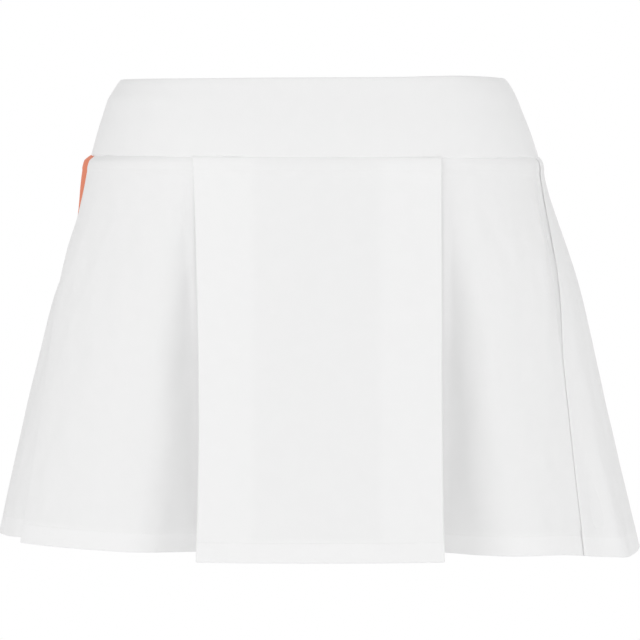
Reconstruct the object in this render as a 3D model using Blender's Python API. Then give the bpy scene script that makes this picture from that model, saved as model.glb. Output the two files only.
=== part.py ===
"""Tennis skirt: a wide stretch waistband over a flared, pleated skirt, filled out as it is when worn.

The frame has +Z up, -Y at the wearer's front and +X at the wearer's left. The origin is the centre
of the waist, half way down the waistband. Sizes are in millimetres until a mesh is made. Levels are
given as a drop below the waistband's top edge, and places round the body as an angle in degrees:
0 at the wearer's right side, 90 at centre front, 180 at the left side and 270 at centre back.
"""

import math
from bisect import bisect_right
from collections import namedtuple

import bmesh
import bpy
import numpy as np

MM = 0.001

# Driving sizes, in millimetres.
LENGTH = 321.0  # waistband's top edge to the hem, at centre front
BAND_DEPTH = 54.0  # height of the waistband
BAND_WALL = 2.2  # two layers of firm knit and their elastic
CLOTH_WALL = 1.0  # one layer of skirt knit
SEAM_GAP = 0.3  # clearance between sewn pieces
SKIRT_TOP = BAND_DEPTH + SEAM_GAP
ORIGIN_DROP = BAND_DEPTH / 2  # the origin lies half way down the waistband

TUCK_INNER_X = 42.0  # half the gap between the box pleat's two inner folds
FACE_POWER = 2.2  # how flat the box pleat's face is: 2 is a parabola
RISE_WIDTH = 6.0  # how far from the pleat's edge the panels start to come up to it
SINK_BEND = 0.5  # share of the span over which the panel at the wearer's right bends inwards
SINK_EASE = 0.15  # share of the span over which it levels off under the pleat
HAIRPIN_REACH = 2 / 3  # handle length of a fold's curve, as a share of the gap that it closes
LIFT_SPAN = 30.0  # degrees over which a side fold's lifted edge settles onto the skirt
SIDE_PITCH = 2.1  # distance from one layer to the next in the two side folds
SETTLE_SPAN = 8.0  # degrees over which the front panel comes down to lie under the left-hand fold
BACK_SIDE_ANGLE = 344.0  # where the back panel's side, divided more finely, begins
FLUTE_GROWTH = 1.6  # power by which flutes deepen from the waist to the hem
STEEPEST_RIM = 0.7  # least level share of a normal that a level rim is widened for
SHARP_ANGLE = 50.0  # degrees between two faces past which the edge between them stays sharp

# What the pieces are made of.
Finish = namedtuple("Finish", "colour roughness")
BAND_KNIT = Finish((0.86, 0.86, 0.86), 0.78)
SKIRT_KNIT = Finish((0.87, 0.87, 0.87), 0.82)
CORAL_KNIT = Finish((0.80, 0.23, 0.12), 0.82)

# Half widths and depths of each level's ring, measured on the outer face of the cloth.
# A squareness of 2 is an ellipse, and more is fuller at the corners.
Ring = namedtuple("Ring", "drop right_side left_side front back squareness")
BAND_RINGS = (
    Ring(0.0, 132.8, 127.5, 99.0, 99.0, 2.20),
    Ring(1.5, 136.4, 130.8, 100.4, 100.6, 2.20),
    Ring(8.5, 141.2, 135.8, 103.0, 104.0, 2.20),
    Ring(15.5, 145.3, 139.3, 105.6, 106.7, 2.20),
    Ring(22.4, 147.5, 142.0, 108.0, 109.2, 2.20),
    Ring(36.3, 151.8, 147.6, 113.0, 115.0, 2.20),
    Ring(54.0, 156.6, 153.6, 118.0, 121.0, 2.20),
)
SKIRT_RINGS = (
    Ring(54.3, 156.9, 153.3, 118.0, 121.0, 2.20),
    Ring(58.5, 161.8, 155.4, 118.8, 122.5, 2.20),
    Ring(71.0, 164.3, 157.6, 118.6, 125.0, 2.15),
    Ring(94.0, 166.5, 166.0, 118.6, 129.0, 2.10),
    Ring(120.0, 172.0, 175.4, 118.8, 133.0, 2.10),
    Ring(155.0, 184.3, 185.6, 119.4, 137.0, 2.05),
    Ring(190.0, 193.4, 194.0, 120.0, 140.5, 2.00),
    Ring(235.0, 203.9, 204.2, 120.8, 143.5, 2.00),
    Ring(280.0, 214.3, 215.3, 121.6, 146.0, 2.00),
    Ring(321.0, 223.0, 225.8, 122.4, 148.0, 2.00),
)

# The box pleat's face: how far its two folded edges stand from the middle and how far forward its
# middle and its edges stand. The panels to its right and left sink under it from a span outside its
# edges, and rise again close to them. The pitch is from one stacked layer to the next.
Pleat = namedtuple(
    "Pleat", "drop right_edge left_edge middle edge right_sink left_sink span rise pitch"
)
PLEAT = (
    Pleat(54.3, 83.0, 83.0, 118.2, 104.7, 3.0, 3.0, 25.0, 0.0, 2.1),
    Pleat(58.5, 82.5, 83.0, 119.6, 106.0, 3.2, 3.2, 25.0, 0.0, 2.1),
    Pleat(71.0, 82.0, 83.0, 121.1, 107.5, 2.2, 2.2, 23.0, 0.3, 2.2),
    Pleat(94.0, 81.0, 83.0, 123.8, 110.0, 3.0, 2.6, 24.0, 1.8, 2.3),
    Pleat(120.0, 80.3, 83.0, 126.6, 113.4, 5.5, 4.4, 28.0, 5.0, 2.4),
    Pleat(155.0, 79.2, 83.0, 130.4, 118.8, 8.5, 6.6, 32.0, 5.4, 2.5),
    Pleat(190.0, 78.5, 82.8, 135.0, 125.0, 10.5, 7.2, 35.0, 3.0, 2.6),
    Pleat(235.0, 78.0, 83.0, 140.8, 133.0, 11.5, 7.2, 38.0, 2.2, 2.8),
    Pleat(280.0, 78.6, 83.4, 145.6, 139.4, 13.5, 7.6, 44.0, 1.6, 2.9),
    Pleat(321.0, 79.8, 84.4, 149.0, 143.5, 19.0, 8.2, 50.0, 0.0, 3.0),
)

# The two knife folds at the sides: how far forward the folded edge lies, how far it stands off the
# ring, how much room is left under its two layers, and how far the folded cloth runs back under the
# edge.
Fold = namedtuple("Fold", "drop forward lift room tuck")
RIGHT_FOLD = (
    Fold(54.3, 30.2, -1.5, 1.2, 20.0),
    Fold(58.5, 31.0, -1.5, 1.2, 20.0),
    Fold(71.0, 30.0, -1.0, 1.6, 20.5),
    Fold(94.0, 27.3, 1.8, 3.2, 21.0),
    Fold(120.0, 25.5, 4.2, 5.5, 21.5),
    Fold(155.0, 28.5, 0.9, 3.0, 22.0),
    Fold(190.0, 34.0, -0.8, 1.2, 22.0),
    Fold(235.0, 42.0, -0.3, 0.6, 22.0),
    Fold(280.0, 47.0, 0.0, 0.3, 22.0),
    Fold(321.0, 49.5, 0.0, 0.3, 22.0),
)
LEFT_FOLD = (
    Fold(54.3, 30.5, 0.8, 0.0, 25.0),
    Fold(58.5, 30.2, 1.9, 0.0, 25.0),
    Fold(71.0, 31.4, 2.2, 0.3, 25.5),
    Fold(94.0, 37.9, 0.2, 0.8, 26.0),
    Fold(120.0, 45.6, -0.8, 1.0, 26.5),
    Fold(155.0, 52.9, -0.6, 1.0, 27.0),
    Fold(190.0, 59.2, 0.4, 0.8, 27.5),
    Fold(235.0, 64.1, 1.0, 0.6, 28.0),
    Fold(280.0, 68.7, 1.3, 0.5, 28.0),
    Fold(321.0, 72.2, 1.5, 0.5, 28.0),
)

# Where the cloth under the right-hand fold starts to dip in from the ring and where it is fully
# down, and where the seam between the insert and the back panel runs, all as distances forward.
Underlay = namedtuple("Underlay", "drop dip_from dip_to seam")
UNDERLAY = (
    Underlay(54.3, 0.0, 27.0, -13.0),
    Underlay(71.0, -1.0, 26.0, -8.5),
    Underlay(94.0, -2.0, 25.0, -1.5),
    Underlay(120.0, -3.0, 24.0, 9.5),
    Underlay(155.0, -4.5, 23.5, 24.0),
    Underlay(190.0, -6.0, 23.0, 33.0),
    Underlay(235.0, -7.5, 23.5, 42.0),
    Underlay(280.0, -9.0, 24.0, 49.0),
    Underlay(321.0, -11.0, 25.0, 54.0),
)

# How much lower than at the centre front each edge lies, round the body: the waistband's top
# edge, the seam below it and the hem. Past 360 degrees is the cloth under the right-hand fold.
Tilt = namedtuple("Tilt", "angle top seam hem")
TILT = (
    Tilt(0.0, 0.8, -1.0, -2.2),
    Tilt(25.0, 0.8, -0.9, -2.3),
    Tilt(60.0, 0.8, -0.7, -1.55),
    Tilt(72.0, 0.6, -0.6, -1.3),
    Tilt(90.0, 0.4, -0.4, -1.0),
    Tilt(112.0, 0.0, -0.2, -1.8),
    Tilt(119.0, -0.4, -0.1, -0.2),
    Tilt(135.0, -1.2, 0.0, 1.5),
    Tilt(150.0, -0.8, 0.1, 6.2),
    Tilt(162.0, -0.3, 0.2, 8.5),
    Tilt(180.0, 0.0, 0.2, 5.8),
    Tilt(225.0, 0.0, 0.0, 6.5),
    Tilt(270.0, 0.0, 0.0, 5.0),
    Tilt(320.0, 0.3, -0.5, 1.0),
    Tilt(350.0, 0.8, -0.9, -3.6),
    Tilt(360.0, 0.8, -1.0, -3.9),
    Tilt(372.0, 0.8, -1.0, -4.3),
    Tilt(384.0, 0.8, -0.9, -5.4),
    Tilt(400.0, 0.8, -0.9, -5.4),
)

# Soft flutes that stand out from the ring: where they are at the hem, and their height there.
Flute = namedtuple("Flute", "angle height width")
FRONT_FLUTES = (Flute(128.0, 7.5, 11.0),)
BACK_FLUTES = (
    Flute(150.5, -1.6, 5.0),
    Flute(157.5, 3.4, 5.0),
    Flute(207.0, 5.0, 9.0),
    Flute(222.0, -3.0, 7.0),
    Flute(239.0, 6.5, 9.5),
    Flute(255.0, -3.0, 7.0),
    Flute(272.0, 5.5, 9.0),
    Flute(288.0, -3.0, 7.0),
    Flute(304.0, 6.5, 9.5),
    Flute(320.0, -2.5, 7.0),
    Flute(334.0, 4.0, 8.0),
)

# How finely the walls are divided.
SKIRT_LEVELS = (54.3, 58.5, 64.0, 71.0, 94.0, 120.0, 155.0, 190.0, 235.0, 280.0, 321.0)
BAND_LEVELS = tuple(ring.drop for ring in BAND_RINGS)
BAND_COLUMNS = 35
Counts = namedtuple("Counts", "side_tuck panel tuck face back side insert fold")
COUNTS = Counts(side_tuck=4, panel=20, tuck=4, face=16, back=48, side=17, insert=9, fold=4)

Level = namedtuple("Level", "drop share ring pleat right_fold left_fold underlay")
Spot = namedtuple("Spot", "x y extra_drop")


def smooth(knots, values, place):
    """The value at a place on a smooth curve through the knots that never swings past them."""
    gaps = np.diff(knots)
    rises = np.diff(values) / gaps
    slopes = np.zeros(len(knots))
    slopes[0], slopes[-1] = rises[0], rises[-1]
    for i in range(1, len(rises)):
        if rises[i - 1] * rises[i] > 0:
            slopes[i] = 2 * rises[i - 1] * rises[i] / (rises[i - 1] + rises[i])
    i = min(max(bisect_right(knots, place) - 1, 0), len(gaps) - 1)
    t = (place - knots[i]) / gaps[i]
    ease_in = t * t * (3 - 2 * t)
    start_bend = t * (1 - t) ** 2 * slopes[i] * gaps[i]
    end_bend = t * t * (1 - t) * slopes[i + 1] * gaps[i]
    return values[i] + (values[i + 1] - values[i]) * ease_in + start_bend - end_bend


def row_at(table, drop):
    """The row of a table at any drop, each column smoothed between the rows given."""
    columns = list(zip(*table))
    return type(table[0])(*(smooth(columns[0], column, drop) for column in columns))


def ease(t):
    """0 up to t = 0, 1 from t = 1, and a smooth rise between them."""
    t = min(max(t, 0.0), 1.0)
    return t * t * (3 - 2 * t)


def signed_power(value, power):
    return math.copysign(abs(value) ** power, value)


def ring_point(ring, angle, lift=0.0):
    """The plan point at an angle, on the middle of a wall whose outer face is lifted off the ring."""
    across, forward = math.cos(math.radians(angle)), math.sin(math.radians(angle))
    width = ring.right_side if across > 0 else ring.left_side
    depth = ring.front if forward > 0 else ring.back
    share_x = -signed_power(across, 2 / ring.squareness)
    share_y = -signed_power(forward, 2 / ring.squareness)
    normal = np.array((
        signed_power(share_x, ring.squareness - 1) / width,
        signed_power(share_y, ring.squareness - 1) / depth,
    ))
    normal /= np.linalg.norm(normal)
    return np.array((share_x * width, share_y * depth)) + lift * normal


def angle_forward(ring, forward):
    """The angle, at the wearer's right side, where the ring lies this far forward of the middle."""
    depth = ring.front if forward > 0 else ring.back
    return math.degrees(math.asin(signed_power(forward / depth, ring.squareness / 2)))


def angle_across(ring, x):
    """The angle, on the front half, where the ring has this x."""
    width = ring.right_side if x < 0 else ring.left_side
    return math.degrees(math.acos(signed_power(-x / width, ring.squareness / 2)))


def forward_on(ring, x):
    """How far forward the ring's front half lies at this x."""
    return -ring_point(ring, angle_across(ring, x))[1]


def degrees_for(ring, angle, distance):
    """How many degrees a distance along the ring takes at an angle."""
    one_degree = np.linalg.norm(ring_point(ring, angle + 0.5) - ring_point(ring, angle - 0.5))
    return distance / one_degree


def flutes_lift(flutes, angle, share):
    """How far the soft flutes carry the cloth off the ring at an angle."""
    lift = sum(f.height * math.exp(-(((angle - f.angle) / f.width) ** 2)) for f in flutes)
    return lift * share**FLUTE_GROWTH


def tilt_at(angle):
    """How much lower than at the centre front each edge lies at an angle."""
    return row_at(TILT, angle)


def skirt_drop(angle, share, hem_share=1.0):
    """How much lower than its level the skirt hangs at an angle, with a share of the hem's tilt."""
    tilt = tilt_at(angle)
    return tilt.seam * (1 - share) ** 2 + tilt.hem * share**2 * hem_share


def level_at(drop):
    share = (drop - SKIRT_TOP) / (LENGTH - SKIRT_TOP)
    tables = (SKIRT_RINGS, PLEAT, RIGHT_FOLD, LEFT_FOLD, UNDERLAY)
    return Level(drop, share, *(row_at(table, drop) for table in tables))


def layer(level, lift_at, start, end, count):
    """A run of cloth on the ring between two angles, lifted off it by a function of the angle."""
    spots = []
    for angle in np.linspace(start, end, count):
        x, y = ring_point(level.ring, angle, lift_at(angle) - CLOTH_WALL / 2)
        spots.append(Spot(x, y, skirt_drop(angle, level.share)))
    return spots


def hairpin(before, after, count=COUNTS.fold):
    """The spots round a folded edge, from the end of one layer to the start of the next."""
    leaving = np.array(before[-1]) - np.array(before[-2])
    arriving = np.array(after[1]) - np.array(after[0])
    start, end = np.array(before[-1]), np.array(after[0])
    reach = HAIRPIN_REACH * np.linalg.norm((end - start)[:2])
    out = start + leaving * reach / np.linalg.norm(leaving[:2])
    back = end - arriving * reach / np.linalg.norm(arriving[:2])
    spots = []
    for t in np.linspace(0, 1, count + 2)[1:-1]:
        x, y, _ = (
            start * (1 - t) ** 3
            + out * 3 * t * (1 - t) ** 2
            + back * 3 * t * t * (1 - t)
            + end * t**3
        )
        spots.append(Spot(x, y, start[2] + (end[2] - start[2]) * t))
    return spots


def face_forward(pleat, x):
    """How far forward the box pleat's face stands at x."""
    edge_x = pleat.right_edge if x < 0 else pleat.left_edge
    return pleat.middle - (pleat.middle - pleat.edge) * abs(x / edge_x) ** FACE_POWER


def pleat_sink(level, angle, side):
    """How deep a panel sinks under the box pleat and just outside it. Side is -1 or 1.

    The panel at the wearer's right falls straight to the pleat's edge and levels off behind it.
    """
    ring, pleat = level.ring, level.pleat
    edge_x = side * (pleat.right_edge if side < 0 else pleat.left_edge)
    at_edge = angle_across(ring, edge_x)
    clear = angle_across(ring, edge_x + side * pleat.span)
    share = (angle - clear) / (at_edge - clear)
    rise_width = degrees_for(ring, at_edge, RISE_WIDTH)
    rise = pleat.rise * math.exp(-(((angle - at_edge) / rise_width) ** 2))
    if side > 0:
        return pleat.left_sink * ease(share) - rise
    bent = min(max(share, 0), SINK_BEND) ** 2 / (2 * SINK_BEND)
    straight = min(max(share - SINK_BEND, 0), 1 - SINK_BEND)
    past = SINK_EASE * (1 - math.exp(-max(share - 1, 0) / SINK_EASE))
    return pleat.right_sink * (bent + straight + past) / (1 - SINK_BEND / 2) - rise


def pleat_face(level, count):
    """The box pleat's outer face, from its right-hand edge to its left-hand edge."""
    pleat = level.pleat
    inset = pleat.pitch / 2
    spots = []
    for x in np.linspace(inset - pleat.right_edge, pleat.left_edge - inset, count):
        extra_drop = skirt_drop(angle_across(level.ring, x), level.share, 0.0)
        spots.append(Spot(x, CLOTH_WALL / 2 - face_forward(pleat, x), extra_drop))
    return spots


def pleat_tuck(level, side, count):
    """The hidden middle layer of the box pleat, from its inner fold out to its edge. Side is -1 or 1."""
    ring, pleat = level.ring, level.pleat
    edge_x = pleat.right_edge if side < 0 else pleat.left_edge
    outer_x = edge_x - pleat.pitch / 2
    inner_angle = angle_across(ring, side * TUCK_INNER_X)
    inner_x, inner_y = ring_point(ring, inner_angle, -pleat_sink(level, inner_angle, side))
    inner_depth = pleat.pitch - inner_y - forward_on(ring, inner_x)
    outer_depth = face_forward(pleat, side * outer_x) - pleat.pitch - forward_on(ring, side * outer_x)
    spots = []
    for t in np.linspace(0, 1, count):
        x = inner_x + (side * outer_x - inner_x) * t
        angle = angle_across(ring, x)
        forward = forward_on(ring, x) + inner_depth + (outer_depth - inner_depth) * ease(t)
        extra_drop = skirt_drop(angle, level.share, 1 - t)
        spots.append(Spot(x, CLOTH_WALL / 2 - forward, extra_drop))
    return spots


def cloth_line(level, counts):
    """One level of the whole skirt, as the spots of its front, its back and its insert.

    The cloth is followed once round the body, through every fold. Each piece starts and ends half
    a seam gap from the next.
    """
    ring, pleat, share = level.ring, level.pleat, level.share
    right, left, under = level.right_fold, level.left_fold, level.underlay
    right_under = right.lift - 2 * SIDE_PITCH - right.room

    # Angles of the folds and seams.
    right_edge = angle_forward(ring, right.forward)
    right_edge += degrees_for(ring, right_edge, SIDE_PITCH / 2)
    right_inner = angle_forward(ring, right.forward + right.tuck)
    right_gap = degrees_for(ring, right_inner, SEAM_GAP / 2)
    left_edge = 180 - angle_forward(ring, left.forward)
    left_edge += degrees_for(ring, left_edge, SIDE_PITCH / 2)
    left_inner = left_edge + degrees_for(ring, left_edge, left.tuck)
    left_gap = degrees_for(ring, left_inner, SEAM_GAP / 2)
    insert_seam = 360 + angle_forward(ring, under.seam)
    insert_gap = degrees_for(ring, insert_seam, SEAM_GAP / 2)
    dip_from = 360 + angle_forward(ring, under.dip_from)
    dip_to = 360 + angle_forward(ring, under.dip_to)

    def right_panel_lift(angle):
        settled = ease((angle - right_edge) / LIFT_SPAN)
        return right.lift * (1 - settled) - pleat_sink(level, angle, -1)

    def right_tuck_lift(angle):
        t = (angle - right_edge) / (right_inner - right_edge)
        return (right.lift - SIDE_PITCH) * (1 - t) + (right_under + SIDE_PITCH) * t

    def left_panel_lift(angle):
        settled = min(max((angle - left_edge) / SETTLE_SPAN + 1, 0), 1) ** 2
        flutes = flutes_lift(FRONT_FLUTES, angle, share)
        return flutes * (1 - settled) + left_under_lift(angle) * settled - pleat_sink(level, angle, 1)

    def left_under_lift(angle):
        return left_tuck_lift(max(angle, left_edge)) - SIDE_PITCH - left.room

    def left_tuck_lift(angle):
        return back_lift(angle) - SIDE_PITCH

    def back_lift(angle):
        settled = ease((angle - left_edge) / LIFT_SPAN)
        dip = ease((angle - dip_from) / (dip_to - dip_from))
        flutes = flutes_lift(BACK_FLUTES, angle, share)
        return left.lift * (1 - settled) + flutes * (1 - dip) + right_under * dip

    tuck_right = layer(level, right_tuck_lift, right_inner - right_gap, right_edge, counts.side_tuck)
    panel_right = layer(
        level, right_panel_lift, right_edge, angle_across(ring, -TUCK_INNER_X), counts.panel
    )
    pleat_right = pleat_tuck(level, -1, counts.tuck)
    face = pleat_face(level, counts.face)
    pleat_left = pleat_tuck(level, 1, counts.tuck)[::-1]
    panel_left = layer(
        level, left_panel_lift, angle_across(ring, TUCK_INNER_X), left_inner - left_gap, counts.panel
    )
    fold_start = layer(level, left_panel_lift, left_inner, left_inner + left_gap, 2)
    tuck_left = layer(level, left_tuck_lift, left_inner + left_gap, left_edge, counts.side_tuck)
    back = layer(level, back_lift, left_edge, BACK_SIDE_ANGLE, counts.back)
    side = layer(level, back_lift, BACK_SIDE_ANGLE, insert_seam - insert_gap, counts.side)
    insert = layer(level, back_lift, insert_seam + insert_gap, 360 + right_inner, counts.insert)
    fold_end = layer(level, right_tuck_lift, right_inner + right_gap, right_inner, 2)

    front_spots = (
        tuck_right
        + hairpin(tuck_right, panel_right)
        + panel_right
        + hairpin(panel_right, pleat_right)
        + pleat_right
        + hairpin(pleat_right, face)
        + face
        + hairpin(face, pleat_left)
        + pleat_left
        + hairpin(pleat_left, panel_left)
        + panel_left
    )
    back_spots = (
        fold_start[1:]
        + hairpin(fold_start, tuck_left)
        + tuck_left
        + hairpin(tuck_left, back)
        + back
        + side[1:]
    )
    insert_spots = insert + hairpin(insert, fold_end) + fold_end[:1]
    return front_spots, back_spots, insert_spots


def skirt_grids(drops, counts):
    """The points of the front, back and insert, as grids with a row for each level."""
    pieces = ([], [], [])
    for drop in drops:
        for rows, spots in zip(pieces, cloth_line(level_at(drop), counts)):
            rows.append([(s.x, s.y, ORIGIN_DROP - drop - s.extra_drop) for s in spots])
    return [np.array(rows) for rows in pieces]


def band_grid(start, end, columns):
    """The middle of the waistband's wall between two side seams, as a grid of points."""
    rows = []
    for drop in BAND_LEVELS:
        ring = row_at(BAND_RINGS, drop)
        share = drop / BAND_DEPTH
        gap = degrees_for(ring, start, SEAM_GAP / 2)
        row = []
        for angle in np.linspace(start + gap, end - gap, columns):
            x, y = ring_point(ring, angle, -BAND_WALL / 2)
            tilt = tilt_at(angle)
            row.append((x, y, ORIGIN_DROP - drop - tilt.top * (1 - share) - tilt.seam * share))
        rows.append(row)
    return np.array(rows)


def run_directions(lines):
    """Unit directions at every point of some lines, each halfway between its two neighbours'."""
    steps = np.diff(lines, axis=0)
    steps /= np.linalg.norm(steps, axis=-1, keepdims=True)
    directions = np.concatenate([steps[:1], steps[:-1] + steps[1:], steps[-1:]])
    return directions / np.linalg.norm(directions, axis=-1, keepdims=True)


def wall_offsets(grid):
    """Unit offsets square to the cloth at each point, level along the top and bottom rims."""
    along = np.swapaxes(run_directions(np.swapaxes(grid, 0, 1)), 0, 1)
    normals = np.cross(run_directions(grid), along)
    normals /= np.linalg.norm(normals, axis=-1, keepdims=True)
    for row in (0, -1):
        level = normals[row] * (1, 1, 0)
        share = np.linalg.norm(level, axis=-1, keepdims=True)
        normals[row] = level / share / np.maximum(share, STEEPEST_RIM)
    return normals


def make_wall(name, grid, thickness, finish):
    """One closed wall of cloth, half its thickness to either side of a grid of points."""
    rows, columns = grid.shape[:2]
    offsets = wall_offsets(grid) * thickness / 2
    mesh = bpy.data.meshes.new(name)
    shape = bmesh.new()
    outer, inner = (
        [[shape.verts.new(point * MM) for point in row] for row in grid + side * offsets]
        for side in (1, -1)
    )
    for i in range(rows - 1):
        for j in range(columns - 1):
            shape.faces.new((outer[i][j], outer[i + 1][j], outer[i + 1][j + 1], outer[i][j + 1]))
            shape.faces.new((inner[i][j], inner[i][j + 1], inner[i + 1][j + 1], inner[i + 1][j]))
    for j in range(columns - 1):
        shape.faces.new((outer[0][j], outer[0][j + 1], inner[0][j + 1], inner[0][j]))
        shape.faces.new((outer[-1][j], inner[-1][j], inner[-1][j + 1], outer[-1][j + 1]))
    for i in range(rows - 1):
        shape.faces.new((outer[i][0], inner[i][0], inner[i + 1][0], outer[i + 1][0]))
        shape.faces.new((outer[i][-1], outer[i + 1][-1], inner[i + 1][-1], inner[i][-1]))
    shape.to_mesh(mesh)
    shape.free()
    mesh.shade_smooth()
    mesh.set_sharp_from_angle(angle=math.radians(SHARP_ANGLE))
    mesh.materials.append(make_material(name, finish))
    wall = bpy.data.objects.new(name, mesh)
    bpy.context.scene.collection.objects.link(wall)
    return wall


def make_material(name, finish):
    material = bpy.data.materials.new(name)
    material.use_nodes = True
    principled = material.node_tree.nodes["Principled BSDF"]
    principled.inputs["Base Color"].default_value = (*finish.colour, 1.0)
    principled.inputs["Roughness"].default_value = finish.roughness
    principled.inputs["Metallic"].default_value = 0.0
    material.diffuse_color = (*finish.colour, 1.0)
    return material


def clear_scene():
    for leftover in list(bpy.data.objects):
        bpy.data.objects.remove(leftover, do_unlink=True)


def main():
    clear_scene()
    make_wall("waistband_front", band_grid(0, 180, BAND_COLUMNS), BAND_WALL, BAND_KNIT)
    make_wall("waistband_back", band_grid(180, 360, BAND_COLUMNS), BAND_WALL, BAND_KNIT)
    front_grid, back_grid, insert_grid = skirt_grids(SKIRT_LEVELS, COUNTS)
    make_wall("skirt_front", front_grid, CLOTH_WALL, SKIRT_KNIT)
    make_wall("skirt_back", back_grid, CLOTH_WALL, SKIRT_KNIT)
    make_wall("side_insert", insert_grid, CLOTH_WALL, CORAL_KNIT)


main()
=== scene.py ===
"""Tennis skirt: its cloth, its sewing and a plain studio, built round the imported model.

The frame has +Z up, -Y at the wearer's front and +X at the wearer's left. The origin is the centre
of the waist, half way down the waistband. Sizes are in millimetres until a mesh is made. Levels are
given as a drop below the waistband's top edge, and places round the body as an angle in degrees:
0 at the wearer's right side, 90 at centre front, 180 at the left side and 270 at centre back.
"""

import math
from collections import namedtuple
from functools import lru_cache

import bpy
import numpy as np
from bpy.props import FloatProperty, FloatVectorProperty, IntProperty, PointerProperty
from bpy.types import Operator, Panel, PropertyGroup
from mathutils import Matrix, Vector
from mathutils.bvhtree import BVHTree


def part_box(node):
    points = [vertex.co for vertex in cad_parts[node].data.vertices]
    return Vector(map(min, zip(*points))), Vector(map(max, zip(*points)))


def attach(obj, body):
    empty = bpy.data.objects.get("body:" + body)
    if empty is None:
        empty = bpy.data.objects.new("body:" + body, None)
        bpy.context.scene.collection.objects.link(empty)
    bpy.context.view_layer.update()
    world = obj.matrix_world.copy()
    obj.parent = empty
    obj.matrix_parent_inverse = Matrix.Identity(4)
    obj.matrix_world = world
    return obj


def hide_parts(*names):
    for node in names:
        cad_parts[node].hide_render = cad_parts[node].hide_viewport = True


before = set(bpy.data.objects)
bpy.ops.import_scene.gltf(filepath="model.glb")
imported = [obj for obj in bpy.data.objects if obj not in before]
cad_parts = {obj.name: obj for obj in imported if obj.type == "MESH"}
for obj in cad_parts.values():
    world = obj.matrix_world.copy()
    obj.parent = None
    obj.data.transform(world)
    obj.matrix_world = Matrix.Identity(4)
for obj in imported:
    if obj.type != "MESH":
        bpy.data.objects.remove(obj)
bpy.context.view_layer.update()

bl_info = {
    "name": "Tennis Skirt",
    "version": (1, 0, 0),
    "blender": (4, 5, 0),
    "location": "View3D > Sidebar > Skirt",
    "description": "Sews a pleated tennis skirt over its frame and sets it in a plain studio",
    "category": "Object",
}

MM = 0.001
BODY = "root"

# ---------------------------------------------------------------- the garment's form

LENGTH = 321.0  # waistband's top edge to the hem
BAND_DEPTH = 54.0  # height of the waistband
ORIGIN_DROP = BAND_DEPTH / 2  # the origin lies half way down the waistband
BAND_WALL = 2.2  # the waistband's two layers and their elastic
LAYER_PITCH = 1.0  # thickness that the form gives to one layer of skirt cloth
SKIRT_TOP = 54.3  # where the form's skirt begins, under the waist seam

TUCK_INNER_X = 42.0  # half the gap between the box pleat's two inner folds
FACE_POWER = 2.2  # how flat the box pleat's face is: 2 is a parabola
RISE_WIDTH = 6.0  # how far from the pleat's edge the panels start to come up to it
SINK_BEND = 0.5  # share of the span over which the panel at the wearer's right bends inwards
SINK_EASE = 0.15  # share of the span over which it levels off under the pleat
HAIRPIN_REACH = 2 / 3  # handle length of a fold's curve, as a share of the gap that it closes
LIFT_SPAN = 30.0  # degrees over which a side fold's lifted edge settles onto the skirt
SIDE_PITCH = 0.54  # distance from one layer to the next in the two side folds
DIP_SPAN = 16.0  # how far in front of the left-hand fold's edge the cloth starts to dip
DIP_FLOOR = 2.0  # how far in front of the edge the dip is deepest
SETTLE_SPAN = 8.0  # degrees over which the front panel comes down to lie under the left-hand fold
BACK_SIDE_ANGLE = 344.0  # where the back panel's side, divided more finely, begins
FLUTE_GROWTH = 1.6  # power by which flutes deepen from the waist to the hem

# Half widths and depths of each level's ring, measured on the outer face of the cloth.
# A squareness of 2 is an ellipse, and more is fuller at the corners.
Ring = namedtuple("Ring", "drop right_side left_side front back squareness")
BAND_RINGS = (
    Ring(0.0, 132.8, 127.5, 99.0, 99.0, 2.20),
    Ring(1.5, 136.4, 130.8, 100.4, 100.6, 2.20),
    Ring(8.5, 141.2, 135.8, 103.0, 104.0, 2.20),
    Ring(15.5, 145.3, 139.3, 105.6, 106.7, 2.20),
    Ring(22.4, 147.5, 142.0, 108.0, 109.2, 2.20),
    Ring(36.3, 151.8, 147.6, 113.0, 115.0, 2.20),
    Ring(54.0, 156.6, 153.6, 118.0, 121.0, 2.20),
)
SKIRT_RINGS = (
    Ring(54.3, 156.9, 153.3, 118.0, 121.0, 2.20),
    Ring(58.5, 161.8, 155.4, 118.8, 122.5, 2.20),
    Ring(71.0, 164.3, 157.6, 118.6, 125.0, 2.15),
    Ring(94.0, 166.5, 166.0, 118.6, 129.0, 2.10),
    Ring(120.0, 172.0, 175.4, 118.8, 133.0, 2.10),
    Ring(155.0, 184.3, 185.6, 119.4, 137.0, 2.05),
    Ring(190.0, 193.4, 194.0, 120.0, 140.5, 2.00),
    Ring(235.0, 203.9, 204.2, 120.8, 143.5, 2.00),
    Ring(280.0, 214.3, 215.3, 121.6, 146.0, 2.00),
    Ring(321.0, 223.0, 225.8, 122.4, 148.0, 2.00),
)

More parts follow.
